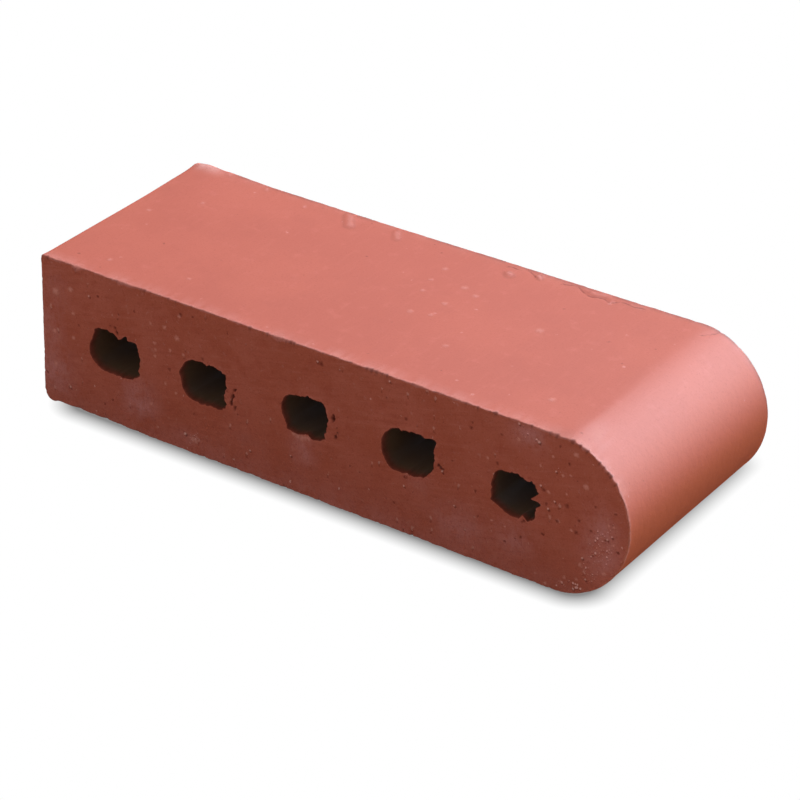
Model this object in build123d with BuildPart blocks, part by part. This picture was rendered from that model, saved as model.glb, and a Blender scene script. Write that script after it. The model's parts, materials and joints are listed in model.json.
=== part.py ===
"""Bullnose coping brick: a stiff clay column pushed through a die, then wire-cut into bricks.

The die gives the section seen on the cut faces: a square end, a flat bed and top, a rounded
nose at the other end, and a row of cores. The section is carried along Y, the way the clay moved.
Millimetres, +Z up, +X towards the nose, origin at the middle of the bed.
"""

import os

from build123d import *

# Overall sizes
brick_length = 237.0  # square end to the tip of the nose
brick_width = 92.0  # one wire-cut face to the other
brick_thickness = 57.0  # bed to top

# Section made by the die
nose_depth = 27.0  # from the tip of the nose back to where the top and bed are flat
top_corner_radius = 1.0  # square end to top
bed_corner_radius = 4.0  # square end to bed

# Arris left by the cutting wire around both cut faces
cut_edge_radius = 0.6

# Cores through the brick, from one cut face to the other
core_width = 19.0
core_height = 15.5
core_corner_radius = 3.5
first_core_from_end = 32.7  # square end to the middle of the first core
last_core_from_nose = 41.3  # tip of the nose to the middle of the last core
core_row_shares = (0.0, 0.237, 0.496, 0.750, 1.0)  # of the row from first core to last
core_rise_shares = (-0.004, 0.009, 0.037, 0.049, 0.023)  # of the thickness, above its middle

# Places that follow from the sizes
end_x = -brick_length / 2
nose_tip_x = brick_length / 2
nose_start_x = nose_tip_x - nose_depth
middle_z = brick_thickness / 2
first_core_x = end_x + first_core_from_end
core_row_length = brick_length - first_core_from_end - last_core_from_nose
core_middles = [
    (first_core_x + along * core_row_length, middle_z + rise * brick_thickness)
    for along, rise in zip(core_row_shares, core_rise_shares)
]

with BuildPart() as clay_brick:
    with BuildSketch(Plane.XZ) as section:
        with BuildLine():
            bed = Line((end_x, 0), (nose_start_x, 0))
            nose = EllipticalCenterArc(
                (nose_start_x, middle_z), nose_depth, brick_thickness / 2, start_angle=-90, arc_size=180
            )
            top = Line(nose @ 1, (end_x, brick_thickness))
            Line(top @ 1, bed @ 0)
        make_face()
        fillet(section.vertices().group_by(Axis.X)[0].sort_by(Axis.Y)[0], bed_corner_radius)
        fillet(section.vertices().group_by(Axis.X)[0].sort_by(Axis.Y)[-1], top_corner_radius)
        with Locations(*core_middles):
            RectangleRounded(core_width, core_height, core_corner_radius, mode=Mode.SUBTRACT)
    extrude(amount=brick_width / 2, both=True)

    cut_faces = clay_brick.faces().filter_by(Axis.Y)
    fillet([edge for face in cut_faces for edge in face.outer_wire().edges()], cut_edge_radius)

clay_brick.part.label = "clay_brick"

os.makedirs("parts", exist_ok=True)
export_step(clay_brick.part, "parts/clay_brick.step")
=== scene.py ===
"""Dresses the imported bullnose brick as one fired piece: die skin, two wire-cut faces and five torn cores.

Clay was pushed through a die along Y and then cut by a wire, so the skin is the section carried along Y, and
the two cut faces are flat with pits, drag lines and torn core mouths. Shapes are worked out in millimetres in
the part's own frame, and go into the mesh in metres.
"""

import json
import math

import bpy
import numpy as np
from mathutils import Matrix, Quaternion, Vector


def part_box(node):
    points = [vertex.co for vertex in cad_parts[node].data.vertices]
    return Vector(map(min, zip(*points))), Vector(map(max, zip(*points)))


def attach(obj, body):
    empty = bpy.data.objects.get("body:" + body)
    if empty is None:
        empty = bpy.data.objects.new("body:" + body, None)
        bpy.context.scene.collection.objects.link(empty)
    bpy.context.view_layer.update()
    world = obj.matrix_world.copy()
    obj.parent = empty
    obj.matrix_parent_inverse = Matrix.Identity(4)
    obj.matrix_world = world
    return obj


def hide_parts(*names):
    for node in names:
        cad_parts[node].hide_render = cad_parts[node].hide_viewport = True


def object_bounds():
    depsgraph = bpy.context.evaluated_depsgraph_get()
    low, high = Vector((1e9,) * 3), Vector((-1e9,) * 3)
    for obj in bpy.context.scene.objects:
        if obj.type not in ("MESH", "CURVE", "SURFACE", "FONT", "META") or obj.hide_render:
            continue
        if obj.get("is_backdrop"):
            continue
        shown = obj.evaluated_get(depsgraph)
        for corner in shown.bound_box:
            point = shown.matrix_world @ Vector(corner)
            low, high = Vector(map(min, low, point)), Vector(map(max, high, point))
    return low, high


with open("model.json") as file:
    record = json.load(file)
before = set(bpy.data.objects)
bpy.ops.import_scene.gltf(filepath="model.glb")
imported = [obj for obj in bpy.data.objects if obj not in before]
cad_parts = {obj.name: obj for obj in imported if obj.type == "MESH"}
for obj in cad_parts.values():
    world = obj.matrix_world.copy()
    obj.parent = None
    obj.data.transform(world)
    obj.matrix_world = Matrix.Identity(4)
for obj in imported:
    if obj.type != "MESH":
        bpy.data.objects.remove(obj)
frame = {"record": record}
cad_low, cad_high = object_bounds()

MM = 0.001

# Finishes, in the order of the mesh's material slots
DIE_SKIN, WIRE_CUT, CORE_WALL = range(3)

# The brick's box and its cores, from the frame
brick_low, brick_high = (np.array(corner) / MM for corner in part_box("clay_brick"))
END_X, FRONT_Y, BED_Z = brick_low
NOSE_TIP_X, BACK_Y, TOP_Z = brick_high
core_boxes = [np.array(opening["box_m"]) / MM for opening in frame["record"]["physics"]["openings"]]
CORE_MIDDLES = [box.mean(axis=0)[[0, 2]] for box in core_boxes]
CORE_COUNT = len(CORE_MIDDLES)

# The section that the die gives, in millimetres
NOSE_DEPTH = 27.0
TOP_CORNER = 1.0
BED_CORNER = 4.0
CORE_WIDTH = 19.0
CORE_HEIGHT = 15.5
CORE_SQUARENESS = 4.5

# Lean of the clay column when it was cut: shift in X at the back face, at its square end and at its nose
END_SKEW = -1.4
NOSE_SKEW = 0.7

# Fineness of the mesh: steps along the outline, rows along Y, and rings around the cores
BED_STEP = 1.6
NOSE_STEP = 1.1
TOP_STEP = 0.8
END_STEP = 1.4
POST_STEP = 1.1
LEAST_BEND_STEPS = 6
ARRIS_STEPS = 3
EVEN_ROWS = 24
BACK_ROWS = 16
BACK_ROWS_FROM = 0.82
FRONT_RINGS = 27
BACK_RINGS = 12
RING_CROWDING = 1.6
MOUTH_STEPS = 2
CORE_STEPS = 11
CORE_CROWDING = 0.8

# The fine strip over the front arris: shares of its margin on the face and of its run onto the skin
BORDER_INSET = 3.2
STRIP_END_Y = FRONT_Y + 3.4
MARGIN_SHARES = (0.72, 0.45, 0.24, 0.09)
RUN_SHARES = (0.16, 0.4, 0.68)
CORNER_EASE = 8.0

# Arrises where the wire came out of the skin
ARRIS_RADIUS = 0.34
ARRIS_LEAST = 0.12
ARRIS_MOST = 3.2
LIP_HEIGHT = 0.07
LIP_REACH = 2.4

# Core mouths: how deep the torn outline goes, and the rounding of the clean side and the torn side
TEAR_DEPTH = 9.0
TORN_TOWARDS = math.radians(25)
CLEAN_MOUTH_EDGE = 0.45
TORN_MOUTH_EDGE = 0.12
RAGGEDNESS = 0.4

# Front core mouths as points (right, up) from the core's middle, anticlockwise from the right
FRONT_MOUTHS = [
    [(10.3, 0.0), (10.4, 2.2), (9.6, 3.9), (9.2, 5.6), (9.2, 6.7), (7.6, 6.9), (6.2, 6.8), (5.3, 7.1),
     (4.9, 8.4), (4.0, 8.1), (3.0, 7.4), (2.3, 6.3), (1.4, 6.1), (0.5, 6.7), (0.0, 7.5), (-2.0, 7.8),
     (-3.9, 8.2), (-6.0, 7.8), (-7.3, 7.7), (-8.9, 7.1), (-9.3, 5.0), (-10.2, 2.8), (-11.1, 1.0),
     (-11.4, -1.2), (-11.1, -3.6), (-10.2, -5.0), (-8.5, -6.5), (-6.2, -7.8), (-4.5, -7.9), (-2.0, -8.0),
     (2.0, -8.1), (6.0, -7.9), (8.2, -6.6), (9.9, -5.5), (10.0, -3.0)],
    [(8.2, 0.0), (9.1, 1.7), (8.5, 3.0), (8.9, 5.0), (9.0, 7.0), (7.6, 6.9), (5.6, 7.4), (4.0, 7.9),
     (2.0, 8.0), (0.6, 7.4), (-1.0, 8.0), (-3.0, 7.9), (-6.0, 7.4), (-7.6, 6.5), (-8.7, 5.4),
     (-9.6, 3.7), (-10.6, 2.0), (-11.0, 0.7), (-10.3, -0.6), (-10.0, -2.4), (-9.3, -4.5), (-8.2, -6.2),
     (-6.6, -7.2), (-3.2, -7.5), (-2.2, -8.1), (-0.5, -7.8), (2.0, -7.4), (4.5, -7.6), (7.0, -7.2),
     (8.4, -5.9), (8.9, -4.6), (7.9, -3.4), (8.2, -1.6)],
    [(8.3, 0.0), (8.8, 1.2), (8.7, 2.4), (7.8, 3.4), (7.9, 5.0), (7.6, 6.0), (6.5, 7.1), (5.0, 7.5),
     (3.0, 7.6), (1.0, 7.8), (-1.0, 7.5), (-3.0, 7.0), (-5.0, 6.6), (-7.0, 6.1), (-8.5, 5.2),
     (-9.3, 3.8), (-9.9, 2.6), (-10.2, 1.0), (-9.9, -0.8), (-9.4, -2.3), (-8.4, -4.0), (-7.9, -5.6),
     (-7.9, -6.8), (-6.2, -7.0), (-3.8, -7.5), (-2.0, -7.0), (-0.3, -6.4), (0.9, -6.5), (1.6, -7.7),
     (4.0, -7.4), (6.0, -6.9), (7.0, -6.0), (7.1, -4.4), (7.9, -2.8)],
    [(9.4, 0.0), (9.1, 2.0), (8.9, 4.2), (9.6, 5.4), (9.9, 6.5), (9.2, 7.6), (8.0, 8.0), (6.2, 7.9),
     (5.0, 7.7), (4.0, 8.0), (2.0, 8.0), (0.5, 8.2), (-0.8, 7.5), (-1.8, 7.9), (-3.4, 6.8), (-4.3, 7.6),
     (-6.0, 7.2), (-7.6, 6.7), (-8.3, 5.7), (-10.0, 4.1), (-10.5, 2.8), (-11.0, 1.4), (-11.1, -0.4),
     (-10.8, -2.4), (-10.3, -4.0), (-9.0, -6.0), (-8.0, -7.4), (-6.6, -8.1), (-4.0, -8.1), (-1.0, -7.7),
     (0.5, -8.0), (2.0, -8.0), (4.0, -7.4), (6.0, -6.5), (8.0, -4.6), (8.5, -3.1), (9.3, -1.8)],
    [(8.9, 0.0), (5.5, 0.5), (5.6, 1.0), (6.8, 2.0), (7.8, 2.8), (8.0, 3.8), (7.4, 4.6), (6.8, 5.2),
     (6.5, 6.0), (5.8, 6.9), (5.0, 7.3), (4.4, 6.5), (3.6, 6.7), (2.0, 7.5), (0.5, 7.9), (-1.0, 7.9),
     (-3.0, 7.4), (-4.5, 7.5), (-6.0, 7.2), (-7.2, 6.5), (-8.2, 5.2), (-8.7, 3.6), (-9.1, 1.8),
     (-9.3, 0.9), (-8.8, -0.2), (-9.3, -1.2), (-8.9, -2.6), (-8.9, -3.6), (-9.3, -4.5), (-8.0, -5.1),
     (-6.5, -5.8), (-5.0, -6.5), (-3.6, -7.3), (-2.0, -7.8), (-0.5, -8.0), (1.2, -7.9), (1.9, -6.7),
     (2.5, -6.1), (3.2, -6.9), (3.9, -7.9), (5.0, -7.5), (6.2, -6.8), (7.0, -5.5), (7.1, -3.6),
     (7.3, -2.0), (8.2, -0.9)],
]

# Tears in the front face beside the cores, darkened inside as painted shade: line of (x, z), half width,
# depth
FRONT_TEARS = [
    ([(-34.9, 30.9), (-35.3, 29.3), (-36.0, 27.0)], 0.5, 0.8),
    ([(-36.5, 26.0), (-36.2, 24.8)], 0.4, 0.5),
    ([(-35.0, 24.4), (-34.9, 23.6)], 0.4, 0.5),
    ([(5.7, 34.6), (5.5, 33.0)], 0.6, 1.1),
    ([(7.1, 30.5), (7.3, 28.8), (6.5, 26.5)], 0.35, 0.4),
    ([(-85.8, 38.6), (-85.2, 36.9)], 0.4, 0.7),
    ([(80.4, 21.4), (79.6, 20.3)], 0.45, 0.7),
    ([(48.4, 29.9), (49.2, 29.5)], 0.4, 0.5),
    ([(47.6, 31.0), (47.5, 30.4)], 0.35, 0.4),
]

# Chips in the front arris: x, z, half width, added radius
FRONT_CHIPS = [
    (-118.5, 57.0, 3.0, 0.1), (-15.8, 57.0, 2.6, 0.6), (-48.0, 57.0, 1.6, 0.3), (37.6, 57.0, 1.6, 0.4),
    (91.0, 57.0, 6.0, 0.45), (76.0, 57.0, 1.2, 0.3), (110.6, 47.5, 1.0, 0.4),
]

# Burrs of pale clay that hang over the front arris: x, z, half width, size
FRONT_BURRS = [
    (-102.3, 57.0, 1.4, 1.15), (-86.5, 57.0, 0.8, 0.4), (-83.6, 57.0, 1.5, 0.65),
    (-79.0, 57.0, 2.2, 0.35), (-33.4, 57.0, 0.7, 0.3), (-17.2, 57.0, 1.7, 0.55), (52.3, 57.0, 0.8, 0.35),
    (100.6, 55.3, 0.9, 0.4), (107.4, 51.6, 0.7, 0.4), (108.7, 50.2, 0.6, 0.4), (-112.0, 57.0, 4.0, 0.2),
]

# Nicks in the front arris, darkened inside as painted shade: x, z, half width, depth
FRONT_NICKS = [
    (18.5, 57.0, 0.8, 0.35), (20.4, 57.0, 0.6, 0.45), (22.2, 57.0, 0.9, 0.4), (24.6, 57.0, 0.6, 0.3),
    (26.4, 57.0, 0.5, 0.35), (-12.0, 57.0, 0.8, 0.45), (-10.4, 57.0, 0.6, 0.35), (-13.6, 57.0, 0.5, 0.3),
    (61.3, 57.0, 0.5, 0.4), (65.9, 57.0, 0.4, 0.25), (67.7, 57.0, 0.7, 0.5), (88.2, 57.0, 0.5, 0.3),
    (96.4, 56.6, 0.7, 0.55), (112.5, 46.2, 0.6, 0.45), (-62.9, 57.0, 0.7, 0.3), (-84.9, 57.0, 0.4, 0.3),
    (99.2, 56.0, 0.5, 0.5), (101.9, 54.9, 0.5, 0.5), (106.6, 52.4, 0.5, 0.5), (109.6, 49.4, 0.5, 0.45),
]

# Small pits of the front face, darkened as painted shade: x, z, radius
FRONT_PITS = [
    (0.8, 52.9, 0.75), (95.8, 48.0, 0.5), (95.8, 32.6, 0.75), (100.5, 28.8, 0.5), (92.6, 25.7, 0.6),
    (99.6, 24.1, 0.65), (104.9, 26.6, 0.5), (87.6, 19.0, 0.5), (79.4, 15.0, 0.45), (73.7, 11.2, 0.45),
    (87.0, 35.4, 0.6), (61.8, 26.0, 0.5), (59.3, 48.7, 0.5), (115.0, 22.2, 0.5), (69.7, 39.2, 0.5),
    (-93.2, 48.4, 0.5), (-57.3, 52.6, 0.6), (34.5, 21.5, 0.45),
]

# Pale grit in the front face, bright and faint: x, z, radius
BRIGHT_GRIT = [
    (91.1, 43.6, 0.5), (91.1, 32.5, 0.5), (88.9, 29.1, 0.55), (102.4, 15.6, 0.5), (104.0, 8.3, 0.5),
    (99.9, 3.0, 0.55), (112.5, 27.2, 0.5), (110.9, 25.7, 0.5), (-97.3, 47.3, 0.55), (-106.9, 8.3, 0.55),
    (-56.2, 6.6, 0.7), (27.7, 55.2, 0.5), (84.4, 52.1, 0.8), (85.8, 36.6, 0.55), (-0.8, 53.2, 0.6),
    (48.9, 28.8, 0.5), (76.8, 56.2, 0.5), (34.2, 18.0, 0.45), (54.0, 17.7, 0.45), (-28.5, 9.5, 0.5),
    (-11.5, 13.5, 0.45),
]
FAINT_GRIT = [
    (76.9, 50.5, 0.5), (89.8, 48.7, 0.45), (98.0, 52.1, 0.8), (85.4, 43.9, 0.45), (93.6, 43.1, 0.5),
    (96.6, 43.9, 0.45), (102.1, 42.0, 0.8), (95.2, 36.7, 0.5), (97.7, 24.4, 0.45), (93.0, 26.0, 0.5),
    (65.9, 39.8, 0.5), (73.4, 16.8, 0.45), (68.4, 17.2, 0.45), (101.8, 12.8, 0.5), (100.8, 7.1, 0.5),
    (96.4, 6.1, 0.5), (95.2, 3.9, 0.5), (89.5, 1.4, 0.5), (85.7, 3.9, 0.5), (111.2, 31.0, 0.5),
    (113.1, 31.0, 0.45), (113.1, 24.4, 0.5), (110.6, 12.7, 0.5), (-105.5, 47.3, 0.9),
    (-104.8, 28.5, 0.6), (-113.4, 28.8, 0.6), (-113.4, 15.5, 0.7), (-68.8, 38.0, 0.6),
    (-68.6, 35.6, 0.5), (-68.9, 33.2, 0.5), (-59.2, 42.9, 0.8), (-64.4, 45.6, 0.6), (-70.6, 45.3, 0.6),
    (-62.3, 37.4, 0.6), (-56.5, 37.4, 0.6), (-64.4, 23.7, 0.5), (-59.9, 21.3, 0.5), (-70.9, 13.4, 0.5),
    (-51.7, 5.2, 0.7), (-68.2, 5.2, 0.5), (-104.5, 38.1, 0.6), (-112.3, 44.6, 1.0), (-58.2, 51.8, 0.6),
    (88.8, 35.2, 0.55), (89.7, 26.4, 0.5), (-53.0, 5.5, 0.9), (-10.2, 22.3, 0.7), (-8.6, 21.9, 0.8),
    (-6.9, 21.9, 0.9), (-5.4, 22.4, 0.8), (-4.2, 22.6, 0.7),
]


def smooth_step(value, low, high):
    """Rises from 0 at low to 1 at high along the cubic 3t^2 - 2t^3, flat outside."""
    share = np.clip((value - low) / (high - low), 0, 1)
    return share * share * (3 - 2 * share)


def lattice_value(cell, seed):
    """One random number from -1 to 1 for each lattice point with whole coordinates, by integer hashing."""
    x, y, z = (cell[..., axis].astype(np.int64).astype(np.uint32) for axis in range(3))
    mixed = x * np.uint32(374761393) + y * np.uint32(668265263) + z * np.uint32(2246822519)
    mixed = mixed + np.uint32(seed * 97531)
    mixed = (mixed ^ (mixed >> 15)) * np.uint32(2246822519)
    mixed = (mixed ^ (mixed >> 13)) * np.uint32(3266489917)
    return (mixed ^ (mixed >> 16)) / 2.0**31 - 1


def clay_noise(points, size, seed):
    """Smooth random field from -1 to 1: values on a lattice of that size, blended by 6t^5 - 15t^4 + 10t^3."""
    scaled = points / size
    cell = np.floor(scaled)
    part = scaled - cell
    fade = part**3 * (part * (part * 6 - 15) + 10)
    total = 0.0
    for corner in np.ndindex(2, 2, 2):
        weight = np.prod(np.where(np.array(corner, bool), fade, 1 - fade), axis=-1)
        total = total + weight * lattice_value(cell + corner, seed)
    return total


def layered(points, layers, seed):
    """Sum of random fields: each layer is a height and a size, and takes the next seed."""
    return sum(height * clay_noise(points, size, seed + step) for step, (height, size) in enumerate(layers))


def bowls(u, v, spots):
    """Sum of round pits: each falls to its depth inside its radius and has a low rim just outside it."""
    total = np.zeros_like(u)
    for spot_u, spot_v, radius, depth in spots:
        away = np.hypot(u - spot_u, v - spot_v) / radius
        rim = np.exp(-(((away - 1.3) / 0.35) ** 2))
        total -= depth * (1 - smooth_step(away, 0.35, 1.1)) - 0.22 * depth * rim
    return total


def sided_distance(u, v, line):
    """Distance from each point to the nearest part of a bent line, negative on the line's right-hand side."""
    nearest = np.full_like(u, np.inf)
    for (u0, v0), (u1, v1) in zip(line, line[1:]):
        run_u, run_v = u1 - u0, v1 - v0
        share = np.clip(((u - u0) * run_u + (v - v0) * run_v) / (run_u**2 + run_v**2), 0, 1)
        away = np.hypot(u - u0 - share * run_u, v - v0 - share * run_v)
        side = np.where(run_u * (v - v0) - run_v * (u - u0) < 0, -1.0, 1.0)
        nearest = np.where(away < np.abs(nearest), side * away, nearest)
    return nearest


def line_distance(u, v, line):
    """Distance from each point to the nearest part of a bent line."""
    return np.abs(sided_distance(u, v, line))


def patches(u, v, spots):
    """Strongest of several soft ovals: strength times exp of minus the squared share of the half sizes."""
    total = np.zeros_like(u)
    for spot_u, spot_v, half_u, half_v, strength in spots:
        oval = ((u - spot_u) / half_u) ** 2 + ((v - spot_v) / half_v) ** 2
        total = np.maximum(total, strength * np.exp(-oval))
    return total


class Clay:
    """Collects points with their surface marks, and the faces between them, as one closed mesh."""

    MARKS = ("pale", "haze", "scuff", "depth", "cleft", "crease", "crease_share", "nose_turn")

    def __init__(self):
        self.points = np.zeros((0, 3))
        self.marks = np.zeros((0, len(self.MARKS)))
        self.faces = []

    def add(self, points, **marks):
        """Stores an array of points and returns their numbers in the same layout."""
        flat = points.reshape(-1, 3)
        first = len(self.points)
        rows = [np.broadcast_to(marks.get(name, 0.0), points.shape[:-1]).ravel() for name in self.MARKS]
        self.points = np.concatenate([self.points, flat])
        self.marks = np.concatenate([self.marks, np.stack(rows, axis=1)])
        return np.arange(first, first + len(flat)).reshape(points.shape[:-1])

    def join(self, corners, finish, flip):
        """Stores faces whose corners are like-shaped arrays of point numbers, turned over if flip is set."""
        faces = np.stack(corners[::-1] if flip else corners, axis=-1)
        self.faces.append((faces.reshape(-1, len(corners)), finish))

    def cover(self, numbers, finish, flip=False):
        """Quads over a grid of point numbers that closes on itself along its second direction."""
        after = np.roll(numbers, -1, axis=1)
        self.join([numbers[:-1], numbers[1:], after[1:], after[:-1]], finish, flip)

    def knit(self, coarse, fine, finish, flip=False):
        """Joins a closed ring to one of three times its points, by a quad and two triangles at each step."""
        after = np.roll(coarse, -1)
        first, second, third = fine.reshape(-1, 3).T
        last = np.roll(first, -1)
        self.join([coarse, first, second], finish, flip)
        self.join([coarse, second, third, after], finish, flip)
        self.join([after, third, last], finish, flip)

    def mesh(self, name, materials):
        """The finished mesh in metres, with its marks as point attributes."""
        corners = np.concatenate([faces.ravel() for faces, finish in self.faces]).astype(np.int32)
        sizes = np.concatenate([np.full(len(faces), faces.shape[1]) for faces, finish in self.faces])
        finishes = np.concatenate([np.full(len(faces), finish) for faces, finish in self.faces])
        mesh = bpy.data.meshes.new(name)
        mesh.vertices.add(len(self.points))
        mesh.vertices.foreach_set("co", (self.points * MM).astype(np.float32).ravel())
        mesh.loops.add(len(corners))
        mesh.loops.foreach_set("vertex_index", corners)
        mesh.polygons.add(len(sizes))
        mesh.polygons.foreach_set("loop_start", (np.cumsum(sizes) - sizes).astype(np.int32))
        mesh.polygons.foreach_set("material_index", finishes.astype(np.int32))
        mesh.polygons.foreach_set("use_smooth", np.ones(len(sizes), bool))
        for column, mark in enumerate(self.MARKS):
            values = np.ascontiguousarray(self.marks[:, column], np.float32)
            mesh.attributes.new(mark, "FLOAT", "POINT").data.foreach_set("value", values)
        for material in materials:
            mesh.materials.append(material)
        mesh.update(calc_edges=True)
        return mesh


# Section outline

def straight(start, end, step):
    """Evenly stepped points of a straight run, with its start and without its end."""
    start, end = np.array(start), np.array(end)
    count = max(1, round(np.linalg.norm(end - start) / step))
    return start + (end - start) * np.arange(count)[:, None] / count


def bend(middle, radii, turn_from, turn_to):
    """Evenly turned points of an elliptic arc, with its start and without its end. Turns are in degrees."""
    length = math.radians(abs(turn_to - turn_from)) * max(radii)
    count = max(LEAST_BEND_STEPS, round(length / NOSE_STEP))
    turn = np.radians(turn_from + (turn_to - turn_from) * np.arange(count) / count)
    return np.array(middle) + np.array(radii) * np.stack([np.cos(turn), np.sin(turn)], axis=1)


def thirds(ring):
    """A closed ring of values with two more between each pair of neighbours, evenly stepped."""
    after = np.roll(ring, -1, axis=0)
    steps = np.stack([ring, (2 * ring + after) / 3, (ring + 2 * after) / 3], axis=1)
    return steps.reshape(-1, *ring.shape[1:])


def unit(vectors):
    """Vectors scaled to length 1."""
    return vectors / np.linalg.norm(vectors, axis=-1, keepdims=True)


def eased(outline, normal):
    """Normals averaged over CORNER_EASE to each side along the outline, so that insets don't cross."""
    run = np.linalg.norm(np.roll(outline, -1, axis=0) - outline, axis=1)
    place = np.cumsum(run) - run
    built = np.cumsum(normal * run[:, None], axis=0)
    places = np.concatenate([place - run.sum(), place, place + run.sum()])
    gone = built[-1]
    mean = np.zeros_like(normal)
    for axis in range(2):
        sums = np.concatenate([built[:, axis] - gone[axis], built[:, axis], built[:, axis] + gone[axis]])
        ahead, behind = (np.interp(place + reach, places, sums) for reach in (CORNER_EASE, -CORNER_EASE))
        mean[:, axis] = ahead - behind
    return unit(mean)


def leaning(x, y):
    """X moved by the clay column's lean: not at all at the front, and most at both ends of the back face."""
    through = (y - FRONT_Y) / (BACK_Y - FRONT_Y)
    along = (x - END_X) / (NOSE_TIP_X - END_X)
    return x + through * (END_SKEW + (NOSE_SKEW - END_SKEW) * along)


def section_outline():
    """The section's outline, anticlockwise seen from the front: bed, nose, top and square end.

    Returns its points (x, z), their outward normals, and the places on the bed and the top that lie halfway
    between neighbouring cores.
    """
    nose_x = NOSE_TIP_X - NOSE_DEPTH
    half_height = TOP_Z / 2
    halfway = [(a[0] + b[0]) / 2 for a, b in zip(CORE_MIDDLES, CORE_MIDDLES[1:])]
    bed_stops = [END_X + BED_CORNER, *halfway, nose_x]
    top_stops = [nose_x, *halfway[::-1], END_X + TOP_CORNER]
    runs = [straight((a, BED_Z), (b, BED_Z), BED_STEP) for a, b in zip(bed_stops, bed_stops[1:])]
    runs.append(bend((nose_x, half_height), (NOSE_DEPTH, half_height), -90, 90))
    runs += [straight((a, TOP_Z), (b, TOP_Z), TOP_STEP) for a, b in zip(top_stops, top_stops[1:])]
    runs.append(bend((END_X + TOP_CORNER, TOP_Z - TOP_CORNER), (TOP_CORNER, TOP_CORNER), 90, 180))
    runs.append(straight((END_X, TOP_Z - TOP_CORNER), (END_X, BED_CORNER), END_STEP))
    runs.append(bend((END_X + BED_CORNER, BED_CORNER), (BED_CORNER, BED_CORNER), 180, 270))
    starts = np.cumsum([0] + [len(run) for run in runs])
    outline = np.concatenate(runs)
    along = np.roll(outline, -1, axis=0) - np.roll(outline, 1, axis=0)
    normal = unit(np.stack([along[:, 1], -along[:, 0]], axis=1))
    bed_marks = starts[1:CORE_COUNT]
    top_marks = starts[CORE_COUNT + 2:2 * CORE_COUNT + 1][::-1]
    return outline, normal, bed_marks, top_marks


# Wire-cut faces

# Relief of a cut face: height and size of its slow waves, drag lines along X, and grain
FACE_WAVES = (0.16, 31.0)
FACE_DRAG = (0.05, 1.9)
FACE_GRAIN = (0.05, 2.6)
DRAG_STRETCH = 0.06
DRAG_SLOPE = 0.03

# Fret of a tear's outline: depth and size
TEAR_FRET = (0.45, 0.8)

# Round hollows strewn over a cut face: count, and least value and spread of their radius and depth
HOLLOW_COUNT = 40
HOLLOW_RADII = (0.8, 0.6)
HOLLOW_DEPTHS = (0.1, 0.15)

# Small nicks strewn along its arris: count, and least value and spread of their half width and depth
NICK_COUNT = 120
NICK_WIDTHS = (0.3, 0.6)
NICK_DEPTHS = (0.05, 0.3)

# Unevenness of the arris: heights and sizes, for its rounding and for how far it stands out
ARRIS_UNEVEN = ((0.16, 2.4), (0.1, 11.0), (0.14, 0.8))
ARRIS_STANDS_OUT = ((0.16, 2.3), (0.12, 0.9))
BURR_STANDS_OUT = 0.7
NICK_CUTS_IN = 0.5


def ranged(shares, limits):
    """Shares from 0 to 1 put between a least value and that value plus its spread."""
    least, spread = limits
    return least + spread * shares


def lying(x, z):
    """Points (x, 0, z) for the fields that a cut face reads."""
    return np.stack([x, np.zeros_like(x), z], axis=-1)


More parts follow.
